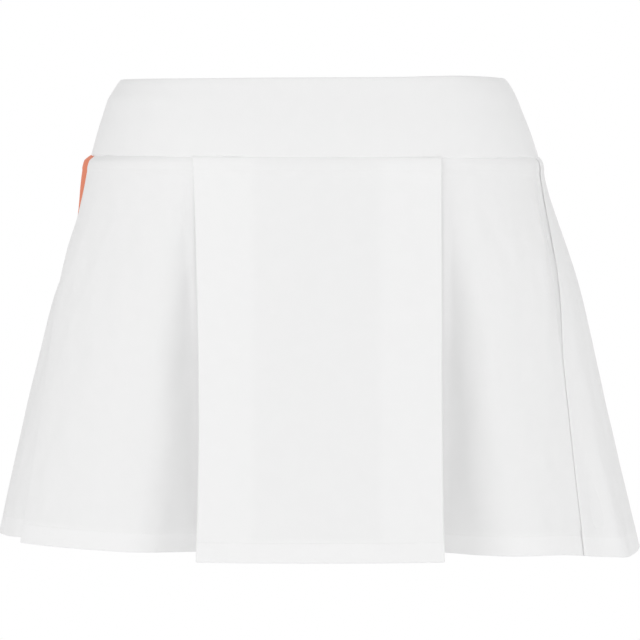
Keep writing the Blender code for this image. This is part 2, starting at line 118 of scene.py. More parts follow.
# The box pleat's face: how far its two folded edges stand from the middle and how far forward its
# middle and its edges stand. The panels to its right and left sink under it from a span outside its
# edges, and rise again close to them. The pitch is from one stacked layer to the next.
Pleat = namedtuple(
    "Pleat", "drop right_edge left_edge middle edge right_sink left_sink span rise pitch"
)
PLEAT = (
    Pleat(54.3, 83.0, 83.0, 118.2, 104.7, 0.6, 0.6, 25.0, 0.1, 0.75),
    Pleat(58.5, 82.5, 83.0, 119.6, 106.0, 0.8, 0.8, 25.0, 0.3, 0.75),
    Pleat(71.0, 82.0, 83.0, 121.1, 107.5, 0.9, 0.9, 23.0, 1.6, 0.8),
    Pleat(94.0, 81.0, 83.0, 123.8, 110.0, 2.6, 2.2, 22.0, 3.6, 0.9),
    Pleat(120.0, 80.3, 83.0, 126.6, 113.4, 5.5, 4.4, 26.0, 4.8, 1.0),
    Pleat(155.0, 79.2, 83.0, 130.4, 118.8, 8.5, 6.6, 31.0, 4.6, 1.2),
    Pleat(190.0, 78.5, 82.8, 135.0, 125.0, 10.5, 7.2, 35.0, 3.0, 1.5),
    Pleat(235.0, 78.0, 83.0, 140.8, 133.0, 11.5, 7.2, 38.0, 2.6, 1.9),
    Pleat(280.0, 78.6, 83.4, 145.6, 139.4, 13.8, 7.8, 43.0, 1.6, 2.4),
    Pleat(321.0, 79.8, 84.4, 149.0, 143.5, 22.0, 10.4, 50.0, 0.0, 2.5),
)

# The two knife folds at the sides: how far forward the folded edge lies, how far it stands off the
# ring, how much room is left under its two layers, how far the folded cloth runs back under the
# edge, and how deep the cloth in front of the edge dips.
Fold = namedtuple("Fold", "drop forward lift room tuck dip")
RIGHT_FOLD = (
    Fold(54.3, 30.2, -1.5, 1.2, 20.0, 0.0),
    Fold(58.5, 31.0, -1.5, 1.2, 20.0, 0.0),
    Fold(71.0, 30.0, -1.0, 1.6, 20.5, 0.0),
    Fold(94.0, 27.3, 1.8, 3.2, 21.0, 0.0),
    Fold(120.0, 25.5, 4.2, 5.5, 21.5, 0.0),
    Fold(155.0, 28.5, 0.9, 3.0, 22.0, 0.0),
    Fold(190.0, 34.0, -0.8, 1.2, 22.0, 0.0),
    Fold(235.0, 42.0, -0.3, 0.6, 22.0, 0.0),
    Fold(280.0, 47.0, 0.0, 0.3, 22.0, 0.0),
    Fold(321.0, 49.5, 0.0, 0.3, 22.0, 0.0),
)
LEFT_FOLD = (
    Fold(54.3, 30.5, 0.8, 0.0, 25.0, 0.0),
    Fold(58.5, 30.2, 1.6, 0.0, 25.0, 0.6),
    Fold(71.0, 31.4, 1.8, 0.0, 25.5, 1.5),
    Fold(94.0, 37.9, 0.1, 0.0, 26.0, 3.0),
    Fold(120.0, 45.6, -0.9, 0.0, 26.5, 3.2),
    Fold(155.0, 52.9, -0.7, 0.0, 27.0, 2.6),
    Fold(190.0, 59.2, 0.2, 0.0, 27.5, 0.8),
    Fold(235.0, 64.1, 0.7, 0.0, 28.0, 0.1),
    Fold(280.0, 68.7, 1.0, 0.0, 28.0, 0.0),
    Fold(321.0, 72.2, 1.2, 0.0, 28.0, 0.0),
)

# Where the cloth under the right-hand fold starts to dip in from the ring and where it is fully
# down, and where the seam between the insert and the back panel runs, all as distances forward.
Underlay = namedtuple("Underlay", "drop dip_from dip_to seam")
UNDERLAY = (
    Underlay(54.3, 0.0, 27.0, -13.0),
    Underlay(71.0, -1.0, 26.0, -8.5),
    Underlay(94.0, -2.0, 25.0, -1.5),
    Underlay(120.0, -3.0, 24.0, 9.5),
    Underlay(155.0, -4.5, 23.5, 24.0),
    Underlay(190.0, -6.0, 23.0, 33.0),
    Underlay(235.0, -7.5, 23.5, 42.0),
    Underlay(280.0, -9.0, 24.0, 49.0),
    Underlay(321.0, -11.0, 25.0, 54.0),
)

# How much lower than its level each edge lies, round the body: the waistband's top edge, the seam
# below it and the hem, apart from the box pleat's face, whose hem is level. Past 360 degrees is the
# cloth under the right-hand fold.
Tilt = namedtuple("Tilt", "angle top seam hem")
TILT = (
    Tilt(0.0, 0.8, -1.0, -2.2),
    Tilt(25.0, 0.8, -0.9, -2.3),
    Tilt(60.0, 0.8, -0.7, -1.55),
    Tilt(72.0, 0.6, -0.6, -1.3),
    Tilt(90.0, 0.4, -0.4, -1.0),
    Tilt(112.0, 0.0, -0.2, -1.8),
    Tilt(119.0, -0.4, -0.1, -0.2),
    Tilt(135.0, -1.2, 0.0, 1.5),
    Tilt(150.0, -0.8, 0.1, 6.2),
    Tilt(162.0, -0.3, 0.2, 8.5),
    Tilt(180.0, 0.0, 0.2, 5.8),
    Tilt(225.0, 0.0, 0.0, 6.5),
    Tilt(270.0, 0.0, 0.0, 5.0),
    Tilt(320.0, 0.3, -0.5, 1.0),
    Tilt(350.0, 0.8, -0.9, -3.6),
    Tilt(360.0, 0.8, -1.0, -3.9),
    Tilt(372.0, 0.8, -1.0, -4.3),
    Tilt(384.0, 0.8, -0.9, -5.4),
    Tilt(400.0, 0.8, -0.9, -5.4),
)

# Soft flutes that stand out from the ring: the angle of each, its height at the hem and its half
# width in degrees. A trough has a height below 0.
Flute = namedtuple("Flute", "angle height width")
FRONT_FLUTES = (Flute(128.0, 7.5, 11.0),)
BACK_FLUTES = (
    Flute(150.5, -1.6, 5.0),
    Flute(157.5, 3.4, 5.0),
    Flute(207.0, 5.0, 9.0),
    Flute(222.0, -3.0, 7.0),
    Flute(239.0, 6.5, 9.5),
    Flute(255.0, -3.0, 7.0),
    Flute(272.0, 5.5, 9.0),
    Flute(288.0, -3.0, 7.0),
    Flute(304.0, 6.5, 9.5),
    Flute(320.0, -2.5, 7.0),
    Flute(334.0, 4.0, 8.0),
)

# Soft creases in the hanging cloth: the run of cloth, both ends, half width and height.
# A trough has a height below 0.
Crease = namedtuple("Crease", "run angle_from drop_from angle_to drop_to width height")
CREASES = (
    Crease("back", 157.0, 225.0, 156.0, 330.0, 5.0, 0.9),
    Crease("back", 151.0, 262.0, 150.0, 318.0, 6.5, -1.4),
    Crease("right_panel", 31.0, 64.0, 27.0, 170.0, 12.0, -0.35),
    Crease("right_panel", 53.0, 190.0, 50.0, 330.0, 9.0, -0.8),
    Crease("left_panel", 131.0, 66.0, 138.0, 150.0, 8.0, -0.6),
    Crease("face", 78.0, 90.0, 79.0, 250.0, 10.0, -0.25),
    Crease("face", 103.0, 150.0, 101.0, 330.0, 9.0, -0.25),
    Crease("back", 195.0, 60.0, 200.0, 128.0, 6.0, -1.4),
    Crease("back", 214.0, 58.0, 211.0, 112.0, 5.0, 1.0),
    Crease("back", 231.0, 60.0, 236.0, 150.0, 6.0, -1.7),
    Crease("back", 262.0, 58.0, 259.0, 122.0, 5.5, 1.2),
    Crease("back", 280.0, 62.0, 285.0, 176.0, 7.0, -1.6),
    Crease("back", 312.0, 58.0, 309.0, 118.0, 5.0, 1.1),
    Crease("back", 330.0, 64.0, 326.0, 160.0, 6.5, -1.3),
)
CREASE_SCALE = 3.2  # millimetres round the body to a degree, for the creases' widths
CREASE_FADE = 16.0  # distance from a fold over which creases grow to their full height
BACKING_SHARE = 0.7  # how far a layer close behind the face acts as a doubled one
BACKING_BLEND = 9.0  # distance over which that begins
# The runs of cloth that crease, and how much of each lies under a fold at its start and its end.
HIDDEN = {"right_panel": (0, 36), "face": (0, 0), "left_panel": (36, 30), "back": (0, 0)}

# Slow waves that keep the cloth from looking pressed: their height and the two lengths over which
# they repeat, round the body and down it.
Wave = namedtuple("Wave", "height across down phase")
WAVES = (
    Wave(0.16, 47.0, 131.0, 0.4),
    Wave(0.11, 29.0, -83.0, 2.1),
    Wave(0.07, 19.0, 57.0, 4.4),
)
WAVE_FADE = 60.0  # distance below the waist seam over which the waves grow to their full height

# How many points each run of skirt cloth has at a level, and each half of the waistband.
Counts = namedtuple("Counts", "side_tuck panel tuck face back side insert fold")
COUNTS = Counts(side_tuck=12, panel=112, tuck=12, face=72, back=190, side=50, insert=40, fold=9)
BAND_COLUMNS = 150

# How many levels each stretch of cloth has, from its top to its bottom.
SEAM_ROWS = 5  # close to the waist seam, above it and below it
RIDGE_ROWS = 10  # where the seam's allowance pushes the skirt out
HANGING_ROWS = 81  # from there to the turned-up hem
HEM_ROWS = 9  # the turned-up hem
BAND_TOP_ROWS = 7  # the waistband's curved top
BAND_ROWS = 21  # from there to the waist seam
BAND_TOP = 6.0  # height of the waistband's curved top

# What shapes one level of the skirt, one run of cloth at a level, and a whole piece of cloth as a
# grid: its points and normals, each row's level, each column's run and each point's angle.
Level = namedtuple("Level", "share hem_room ring pleat right_fold left_fold underlay")
Run = namedtuple("Run", "name spots")
Cloth = namedtuple("Cloth", "points normals drops runs angles")


def smooth(knots, values, places):
    """Values at some places on a smooth curve through the knots that never swings past them."""
    gaps = np.diff(knots)
    rises = np.diff(values) / gaps
    before, after = rises[:-1], rises[1:]
    same_way = before * after > 0
    total = np.where(same_way, before + after, 1.0)
    inner = np.where(same_way, 2 * before * after / total, 0.0)
    slopes = np.concatenate([rises[:1], inner, rises[-1:]])
    i = np.clip(np.searchsorted(knots, places, side="right") - 1, 0, len(gaps) - 1)
    t = (places - knots[i]) / gaps[i]
    start_bend = t * (1 - t) ** 2 * slopes[i] * gaps[i]
    end_bend = t * t * (1 - t) * slopes[i + 1] * gaps[i]
    return values[i] + (values[i + 1] - values[i]) * t * t * (3 - 2 * t) + start_bend - end_bend


def row_at(table, place):
    """The row of a table at any place, each column smoothed between the rows given."""
    columns = [np.array(column, float) for column in zip(*table)]
    return type(table[0])(*(smooth(columns[0], column, place) for column in columns))


def ease(t):
    """0 up to t = 0, 1 from t = 1, and a smooth rise between them."""
    t = np.clip(t, 0.0, 1.0)
    return t * t * (3 - 2 * t)


def signed_power(value, power):
    return np.copysign(np.abs(value) ** power, value)


def ring_points(ring, angles, lift=0.0):
    """The plan points at some angles, lifted square off the ring."""
    across, forward = np.cos(np.radians(angles)), np.sin(np.radians(angles))
    width = np.where(across > 0, ring.right_side, ring.left_side)
    depth = np.where(forward > 0, ring.front, ring.back)
    share_x = -signed_power(across, 2 / ring.squareness)
    share_y = -signed_power(forward, 2 / ring.squareness)
    normal_x = signed_power(share_x, ring.squareness - 1) / width
    normal_y = signed_power(share_y, ring.squareness - 1) / depth
    size = np.hypot(normal_x, normal_y)
    x = share_x * width + lift * normal_x / size
    y = share_y * depth + lift * normal_y / size
    return np.stack([x, y], axis=-1)


def angle_forward(ring, forward):
    """The angle, at the wearer's right side, where the ring lies this far forward of the middle."""
    depth = ring.front if forward > 0 else ring.back
    return math.degrees(math.asin(signed_power(forward / depth, ring.squareness / 2)))


def angle_across(ring, x):
    """The angle, on the front half, where the ring has this x."""
    width = np.where(np.asarray(x) < 0, ring.right_side, ring.left_side)
    return np.degrees(np.arccos(signed_power(-x / width, ring.squareness / 2)))


def degrees_for(ring, angle, distance):
    """How many degrees a distance along the ring takes at an angle."""
    one_degree = np.linalg.norm(ring_points(ring, angle + 0.5) - ring_points(ring, angle - 0.5))
    return distance / one_degree


def flutes_lift(flutes, angles, share):
    """How far the soft flutes carry the cloth off the ring at some angles."""
    lift = sum(f.height * np.exp(-(((angles - f.angle) / f.width) ** 2)) for f in flutes)
    return lift * share**FLUTE_GROWTH


def tilt_at(angles):
    """How much lower than its level each edge lies at some angles."""
    return row_at(TILT, np.asarray(angles))


def skirt_drop(angles, share, hem_share=1.0):
    """How much lower than its level the skirt hangs at some angles.

    The share runs from 0 at the waist seam to 1 at the hem, where hem_share of its tilt counts.
    """
    tilt = tilt_at(angles)
    return tilt.seam * (1 - share) ** 2 + tilt.hem * share**2 * hem_share


# ---------------------------------------------------------------- seams and hem in the cloth

SEAM_ROLL = 0.7  # how far from the waist seam the cloth starts to turn in
SEAM_DITCH = 0.3  # how deep it turns in there
# The seam's unevenness: how often each wave repeats round the body, and where it starts.
SEAM_WAVES = ((9.0, 0.5), (17.0, 2.4), (31.0, 4.0))
RIDGE_HEIGHT = 0.4  # how far the seam allowance inside pushes the skirt out
RIDGE_FADE = 2.4  # distance over which that ridge falls away
VISIBLE_GAP = 0.06  # gap that shows between sewn pieces

HEM_ROUND = 0.7  # room that is left below the cloth's last level for the hem's rounded fold
BAND_ROUND = 1.5  # the same above the waistband's first level
HEM_ROOM = 1.15  # room inside a fold for the turned-up hem's two more layers
HEM_ROOM_FADE = 7.0  # height above the turn-up over which the folds open by that much
TURN_UP_STEP = 0.5  # how far up the cloth the turn-up's cut edge takes to end

# The waist seam's cut edges inside, which hang together as one strip.
ALLOWANCE_WALL = 1.3  # their thickness, sewn together
ALLOWANCE_ABOVE = 0.2  # how far above the seam the strip starts
ALLOWANCE_ROWS = 8
ALLOWANCE_SPREAD = 2  # columns to either side over which the strip smooths what it lies on
ALLOWANCE_GAP = 0.06  # clearance between the strip and what it lies on
SEAM_LAP = 0.3  # clearance between the strip's ends at each side


def seam_slack(angles):
    """How loosely the waist seam is drawn in at some angles, from 0 where it is tight to 1."""
    turns = sum(np.sin(rate * np.radians(angles) + start) for rate, start in SEAM_WAVES)
    return ease(turns / len(SEAM_WAVES) + 0.5)


def seam_relief(distance, allowance):
    """How far the skirt stands off its form at a distance below the waist seam."""
    out_of_ditch = ease(distance / SEAM_ROLL)
    past_ridge = ease((distance - allowance) / RIDGE_FADE)
    return RIDGE_HEIGHT * out_of_ditch * (1 - past_ridge) - SEAM_DITCH * (1 - out_of_ditch)


def pushed_out(row, relief, *names):
    """A row of a table with the sizes of these names made larger by the relief."""
    return row._replace(**{name: getattr(row, name) + relief for name in names})


def level_at(drop, relief, hem_room):
    """Everything that shapes one level of the skirt, pushed out by the relief.

    The folds are opened by the room that the turned-up hem needs inside them.
    """
    share = max(drop - SKIRT_TOP, 0.0) / (LENGTH - SKIRT_TOP)
    ring = pushed_out(row_at(SKIRT_RINGS, drop), relief, "right_side", "left_side", "front", "back")
    pleat = pushed_out(row_at(PLEAT, drop), relief, "middle", "edge")
    others = (row_at(table, drop) for table in (RIGHT_FOLD, LEFT_FOLD, UNDERLAY))
    return Level(share, hem_room, ring, pleat, *others)


def layer(level, angles, lifts):
    """A run of cloth on the ring at some angles: plan point, extra drop and angle of each spot."""
    plan = ring_points(level.ring, angles, lifts - LAYER_PITCH / 2)
    return np.column_stack([plan, skirt_drop(angles, level.share), angles])


def hairpin(before, after, count):
    """The spots round a folded edge, from the end of one layer to the start of the next."""
    leaving, arriving = before[-1] - before[-2], after[1] - after[0]
    start, end = before[-1], after[0]
    reach = HAIRPIN_REACH * np.linalg.norm((end - start)[:2])
    out = start + leaving * reach / np.linalg.norm(leaving[:2])
    back = end - arriving * reach / np.linalg.norm(arriving[:2])
    t = np.linspace(0, 1, count + 2)[1:-1, None]
    near_start = start * (1 - t) ** 3 + out * 3 * t * (1 - t) ** 2
    curve = near_start + back * 3 * t * t * (1 - t) + end * t**3
    curve[:, 2:] = start[2:] + (end[2:] - start[2:]) * t
    return Run("fold", curve)


def face_forward(pleat, x):
    """How far forward the box pleat's face stands at x."""
    edge_x = np.where(np.asarray(x) < 0, pleat.right_edge, pleat.left_edge)
    return pleat.middle - (pleat.middle - pleat.edge) * np.abs(x / edge_x) ** FACE_POWER


def pleat_sink(level, angles, side):
    """How deep a panel sinks under the box pleat and just outside it. Side is -1 or 1.

    The panel at the wearer's right falls straight to the pleat's edge and levels off behind it.
    """
    ring, pleat = level.ring, level.pleat
    edge_x = side * (pleat.right_edge if side < 0 else pleat.left_edge)
    at_edge = angle_across(ring, edge_x)
    clear = angle_across(ring, edge_x + side * pleat.span)
    share = (angles - clear) / (at_edge - clear)
    rise_width = degrees_for(ring, at_edge, RISE_WIDTH)
    rise = pleat.rise * np.exp(-(((angles - at_edge) / rise_width) ** 2))
    if side > 0:
        return pleat.left_sink * ease(share) - rise
    bent = np.clip(share, 0, SINK_BEND) ** 2 / (2 * SINK_BEND)
    straight = np.clip(share - SINK_BEND, 0, 1 - SINK_BEND)
    past = SINK_EASE * (1 - np.exp(-np.maximum(share - 1, 0) / SINK_EASE))
    return pleat.right_sink * (bent + straight + past) / (1 - SINK_BEND / 2) - rise


def pleat_face(level, count):
    """The box pleat's outer face, from its right-hand edge to its left-hand edge."""
    pleat = level.pleat
    inset = pleat.pitch / 2
    x = np.linspace(inset - pleat.right_edge, pleat.left_edge - inset, count)
    angles = angle_across(level.ring, x)
    extra_drop = skirt_drop(angles, level.share, 0.0)
    return np.column_stack([x, LAYER_PITCH / 2 - face_forward(pleat, x), extra_drop, angles])


def pleat_tuck(level, side, count):
    """The box pleat's hidden middle layer, from its inner fold out to its edge. Side is -1 or 1."""
    ring, pleat = level.ring, level.pleat
    edge_x = pleat.right_edge if side < 0 else pleat.left_edge
    outer_x = edge_x - pleat.pitch / 2
    inner_angle = angle_across(ring, side * TUCK_INNER_X)
    inner_x, inner_y = ring_points(ring, inner_angle, -pleat_sink(level, inner_angle, side))
    t = np.linspace(0, 1, count)
    x = inner_x + (side * outer_x - inner_x) * t
    angles = angle_across(ring, x)
    on_ring = -ring_points(ring, angles)[:, 1]
    inner_depth = pleat.pitch - inner_y - on_ring[0]
    outer_depth = face_forward(pleat, side * outer_x) - pleat.pitch - on_ring[-1]
    forward = on_ring + inner_depth + (outer_depth - inner_depth) * ease(t)
    extra_drop = skirt_drop(angles, level.share, 1 - t)
    return np.column_stack([x, LAYER_PITCH / 2 - forward, extra_drop, angles])


def cloth_line(level, counts):
    """One level of the whole skirt, as the runs of its front, its back and its insert.

    The cloth is followed once round the body, through every fold. Each piece starts and ends half
    a gap from the next.
    """
    ring, share = level.ring, level.share
    right, left, under = level.right_fold, level.left_fold, level.underlay
    outer_pitch = SIDE_PITCH + level.hem_room
    right_under = right.lift - outer_pitch - SIDE_PITCH - right.room

    # Angles of the folds and seams.
    right_edge = angle_forward(ring, right.forward)
    right_edge += degrees_for(ring, right_edge, outer_pitch / 2)
    right_inner = angle_forward(ring, right.forward + right.tuck)
    right_gap = degrees_for(ring, right_inner, VISIBLE_GAP / 2)
    left_edge = 180 - angle_forward(ring, left.forward)
    left_edge += degrees_for(ring, left_edge, outer_pitch / 2)
    left_inner = left_edge + degrees_for(ring, left_edge, left.tuck)
    left_gap = degrees_for(ring, left_inner, VISIBLE_GAP / 2)
    insert_seam = 360 + angle_forward(ring, under.seam)
    insert_gap = degrees_for(ring, insert_seam, VISIBLE_GAP / 2)
    dip_from = 360 + angle_forward(ring, under.dip_from)
    dip_to = 360 + angle_forward(ring, under.dip_to)

    def right_panel_lift(angles):
        settled = ease((angles - right_edge) / LIFT_SPAN)
        return right.lift * (1 - settled) - pleat_sink(level, angles, -1)

    def right_tuck_lift(angles):
        t = (angles - right_edge) / (right_inner - right_edge)
        return (right.lift - outer_pitch) * (1 - t) + (right_under + SIDE_PITCH) * t

    def left_panel_lift(angles):
        settled = np.clip((angles - left_edge) / SETTLE_SPAN + 1, 0, 1) ** 2
        flutes = flutes_lift(FRONT_FLUTES, angles, share)
        away = (left_edge - angles) / degrees_for(ring, left_edge, 1.0)
        dip = left.dip * ease((DIP_SPAN - away) / (DIP_SPAN - DIP_FLOOR)) * ease(away / DIP_FLOOR)
        lift = flutes * (1 - settled) + left_under_lift(angles) * settled
        return lift - dip - pleat_sink(level, angles, 1)

    def left_under_lift(angles):
        return back_lift(np.maximum(angles, left_edge)) - outer_pitch - SIDE_PITCH - left.room

    def left_tuck_lift(angles):
        return back_lift(angles) - outer_pitch

    def back_lift(angles):
        settled = ease((angles - left_edge) / LIFT_SPAN)
        dip = ease((angles - dip_from) / (dip_to - dip_from))
        flutes = flutes_lift(BACK_FLUTES, angles, share)
        return left.lift * (1 - settled) + flutes * (1 - dip) + right_under * dip

    def run(lift_at, start, end, count):
        angles = np.linspace(start, end, count)
        return layer(level, angles, lift_at(angles))

    tuck_right = run(right_tuck_lift, right_inner - right_gap, right_edge, counts.side_tuck)
    panel_right = run(right_panel_lift, right_edge, angle_across(ring, -TUCK_INNER_X), counts.panel)
    pleat_right = pleat_tuck(level, -1, counts.tuck)
    face = pleat_face(level, counts.face)
    pleat_left = pleat_tuck(level, 1, counts.tuck)[::-1]
    panel_left = run(
        left_panel_lift, angle_across(ring, TUCK_INNER_X), left_inner - left_gap, counts.panel
    )
    fold_start = run(left_panel_lift, left_inner, left_inner + left_gap, 2)
    tuck_left = run(left_tuck_lift, left_inner + left_gap, left_edge, counts.side_tuck)
    back = run(back_lift, left_edge, BACK_SIDE_ANGLE, counts.back)
    side = run(back_lift, BACK_SIDE_ANGLE, insert_seam - insert_gap, counts.side)
    insert = run(back_lift, insert_seam + insert_gap, 360 + right_inner, counts.insert)
    fold_end = run(right_tuck_lift, right_inner + right_gap, right_inner, 2)

    def pin(before, after):
        return hairpin(before, after, counts.fold)

    front_runs = (
        Run("tuck", tuck_right),
        pin(tuck_right, panel_right),
        Run("right_panel", panel_right),
        pin(panel_right, pleat_right),
        Run("tuck", pleat_right),
        pin(pleat_right, face),
        Run("face", face),
        pin(face, pleat_left),
        Run("tuck", pleat_left),
        pin(pleat_left, panel_left),
        Run("left_panel", panel_left),
    )
    back_runs = (
        Run("tuck", fold_start[1:]),
        pin(fold_start, tuck_left),
        Run("tuck", tuck_left),
        pin(tuck_left, back),
        Run("back", back),
        Run("back", side[1:]),
    )
    insert_runs = (Run("insert", insert), pin(insert, fold_end), Run("tuck", fold_end[:1]))
    return front_runs, back_runs, insert_runs


def run_directions(lines):
    """Unit directions at every point of some lines, each halfway between its two neighbours'."""
    steps = np.diff(lines, axis=0)
    steps /= np.linalg.norm(steps, axis=-1, keepdims=True)
    directions = np.concatenate([steps[:1], steps[:-1] + steps[1:], steps[-1:]])
    return directions / np.linalg.norm(directions, axis=-1, keepdims=True)


def cloth_normals(points):
    """Unit normals of a grid of points, on the cloth's right side."""
    along = np.swapaxes(run_directions(np.swapaxes(points, 0, 1)), 0, 1)
    normals = np.cross(run_directions(points), along)
    return normals / np.linalg.norm(normals, axis=-1, keepdims=True)


def distances(points, axis):
    """How far along the cloth each point of a grid lies from the first one on its line."""
    steps = np.linalg.norm(np.diff(points, axis=axis), axis=-1)
    return np.insert(np.cumsum(steps, axis=axis), 0, 0.0, axis=axis)


def away_from_folds(cloth):
    """How free each point is to crease, from 0 beside a fold or under one to 1."""
    along = distances(cloth.points, 1)
    free = np.zeros(along.shape)
    for name, (hidden_start, hidden_end) in HIDDEN.items():
        columns = np.flatnonzero(cloth.runs == name)
        if len(columns):
            from_start = along[:, columns] - along[:, columns[:1]] - hidden_start
            to_end = along[:, columns[-1:]] - along[:, columns] - hidden_end
            free[:, columns] = ease(from_start / CREASE_FADE) * ease(to_end / CREASE_FADE)
    return free


def crease_height(crease, cloth, across, down):
    """How far one crease carries each point of the cloth off its form."""
    start = np.array((crease.angle_from * CREASE_SCALE, crease.drop_from))
    end = np.array((crease.angle_to * CREASE_SCALE, crease.drop_to))
    length = np.linalg.norm(end - start)
    run_x, run_y = (end - start) / length
    share = ((across - start[0]) * run_x + (down - start[1]) * run_y) / length
    aside = (across - start[0]) * run_y - (down - start[1]) * run_x
    fade = np.sin(math.pi * np.clip(share, 0, 1))
    height = (cloth.runs == crease.run) * crease.height
    return height * fade * np.exp(-((aside / crease.width) ** 2))


def crease_heights(cloth):
    """How far creases, slow waves and slack in the waist seam carry each point off its form."""
    across = cloth.angles * CREASE_SCALE
    down = np.broadcast_to(cloth.drops[:, None], across.shape)
    heights = np.zeros(across.shape)
    for wave in WAVES:
        turn = 2 * math.pi * (across / wave.across + down / wave.down) + wave.phase
        heights += wave.height * np.sin(turn) * ease((down - SKIRT_TOP) / WAVE_FADE)
    for crease in CREASES:
        heights += crease_height(crease, cloth, across, down)
    near_seam = 1 - ease((down - SKIRT_TOP) / SEAM_ROLL)
    return heights * away_from_folds(cloth) + SEAM_DITCH * near_seam * seam_slack(cloth.angles)


def backing(cloth):
    """How much the box pleat's hidden layers keep light from passing through its face."""
    behind = ease((np.abs(cloth.points[..., 0]) - TUCK_INNER_X) / BACKING_BLEND + 0.5)
    return BACKING_SHARE * behind * (cloth.runs == "face")


@lru_cache(maxsize=None)
def skirt_cloths(hem_depth, allowance):
    """The front, the back and the insert, as grids of points with a row for each level."""
    below_roll = SKIRT_TOP + SEAM_ROLL
    below_ridge = SKIRT_TOP + allowance + RIDGE_FADE
    turn_up = LENGTH - hem_depth
    drops = np.concatenate([
        np.linspace(SKIRT_TOP - VISIBLE_GAP, below_roll, SEAM_ROWS),
        np.linspace(below_roll, below_ridge, RIDGE_ROWS + 1)[1:],
        np.linspace(below_ridge, turn_up - TURN_UP_STEP, HANGING_ROWS + 1)[1:],
        np.linspace(turn_up, LENGTH - HEM_ROUND, HEM_ROWS),
    ])
    reliefs = seam_relief(drops - SKIRT_TOP, allowance)
    hem_rooms = HEM_ROOM * ease((drops - turn_up) / HEM_ROOM_FADE + 1)
    lines = [cloth_line(level_at(*shape), COUNTS) for shape in zip(drops, reliefs, hem_rooms)]
    cloths = []
    for levels in zip(*lines):
        runs = np.concatenate([[run.name] * len(run.spots) for run in levels[0]])
        spots = np.array([np.concatenate([run.spots for run in level]) for level in levels])
        points = spots[..., :3].copy()
        points[..., 2] = ORIGIN_DROP - drops[:, None] - spots[..., 2]
        cloth = Cloth(points, cloth_normals(points), drops, runs, spots[..., 3])
        points = points + cloth.normals * crease_heights(cloth)[..., None]
        cloths.append(cloth._replace(points=points, normals=cloth_normals(points)))
    return cloths


@lru_cache(maxsize=None)
def band_cloth(start, end):
    """The middle of the waistband's wall between two side seams."""
    above_roll = BAND_DEPTH - SEAM_ROLL
    drops = np.concatenate([
        np.linspace(BAND_ROUND, BAND_TOP, BAND_TOP_ROWS),
        np.linspace(BAND_TOP, above_roll, BAND_ROWS + 1)[1:],
        np.linspace(above_roll, BAND_DEPTH, SEAM_ROWS)[1:],
    ])
    rows = []
    for drop in drops:
        ring = row_at(BAND_RINGS, drop)
        drawn_in = SEAM_DITCH * (1 - ease((BAND_DEPTH - drop) / SEAM_ROLL))
        gap = degrees_for(ring, start, VISIBLE_GAP / 2)
        angles = np.linspace(start + gap, end - gap, BAND_COLUMNS)
        plan = ring_points(ring, angles, -BAND_WALL / 2 - drawn_in * (1 - seam_slack(angles)))
        share = drop / BAND_DEPTH
        tilt = tilt_at(angles)
        heights = ORIGIN_DROP - drop - tilt.top * (1 - share) - tilt.seam * share
        rows.append(np.column_stack([plan, heights]))
    points = np.array(rows)
    angles = np.broadcast_to(np.linspace(start, end, BAND_COLUMNS), points.shape[:2])
    runs = np.array(["band"] * BAND_COLUMNS)
    return Cloth(points, cloth_normals(points), drops, runs, angles)


# ---------------------------------------------------------------- meshes of cloth

TURN_UP_SHADE = 3.0  # height over which the turn-up starts to show through
RIM_POINTS = 5  # points round a rim between its two faces
EDGE_BEVEL = 0.35  # how far in from a side edge the cloth has its full thickness
EDGE_SHARE = 0.45  # share of the thickness that is left at the edge itself


def add_object(name, data):
    """A new object in the scene."""
    made = bpy.data.objects.new(name, data)
    bpy.context.scene.collection.objects.link(made)
    return made


def new_mesh(name, points, faces):
    """A smooth mesh from points in millimetres."""
    mesh = bpy.data.meshes.new(name)
    mesh.from_pydata((points * MM).tolist(), [], [face.tolist() for face in faces])
    mesh.shade_smooth()
    return mesh


def grid_faces(index):
    """Faces between the neighbours in a grid of point numbers."""
    corners = (index[:-1, :-1], index[1:, :-1], index[1:, 1:], index[:-1, 1:])
    return np.stack(corners, axis=-1).reshape(-1, 4)


def tube_faces(index):
    """Faces between the neighbours in a grid of point numbers whose last row joins its first."""
    return grid_faces(np.concatenate([index, index[:1]]))


def with_edge_columns(values, points):
    """Values of a grid with one more column just inside each side edge."""
    def beside(edge, inner):
        reach = EDGE_BEVEL / np.linalg.norm(points[:, inner] - points[:, edge], axis=-1)
        reach = reach.reshape((-1,) + (1,) * (values.ndim - 2))
        return (values[:, edge] + (values[:, inner] - values[:, edge]) * reach)[:, None]
    return np.concatenate(
        [values[:, :1], beside(0, 1), values[:, 1:-1], beside(-1, -2), values[:, -1:]], axis=1
    )


def rim(outer, inner, down):
    """Points of a half-round rim from the outer face's edge to the inner face's edge."""
    middle, half = (outer + inner) / 2, (outer - inner) / 2
    radius = np.linalg.norm(half, axis=-1, keepdims=True)
    turns = np.linspace(0, math.pi, RIM_POINTS + 2)[1:-1]
    return np.array([middle + half * math.cos(a) + down * radius * math.sin(a) for a in turns])


def side_caps(index, rows, column):
    """Faces that close a shell's side, between the outer and inner faces and their rims."""
    first_inner = rows + RIM_POINTS
    outer = index[:rows, column]
    inner = index[first_inner : first_inner + rows, column][::-1]
    bottom = index[rows - 1 : first_inner + 1, column]
    top = np.append(index[first_inner + rows - 1 :, column], index[0, column])
    return [*grid_faces(np.column_stack([outer, inner])), bottom, top]


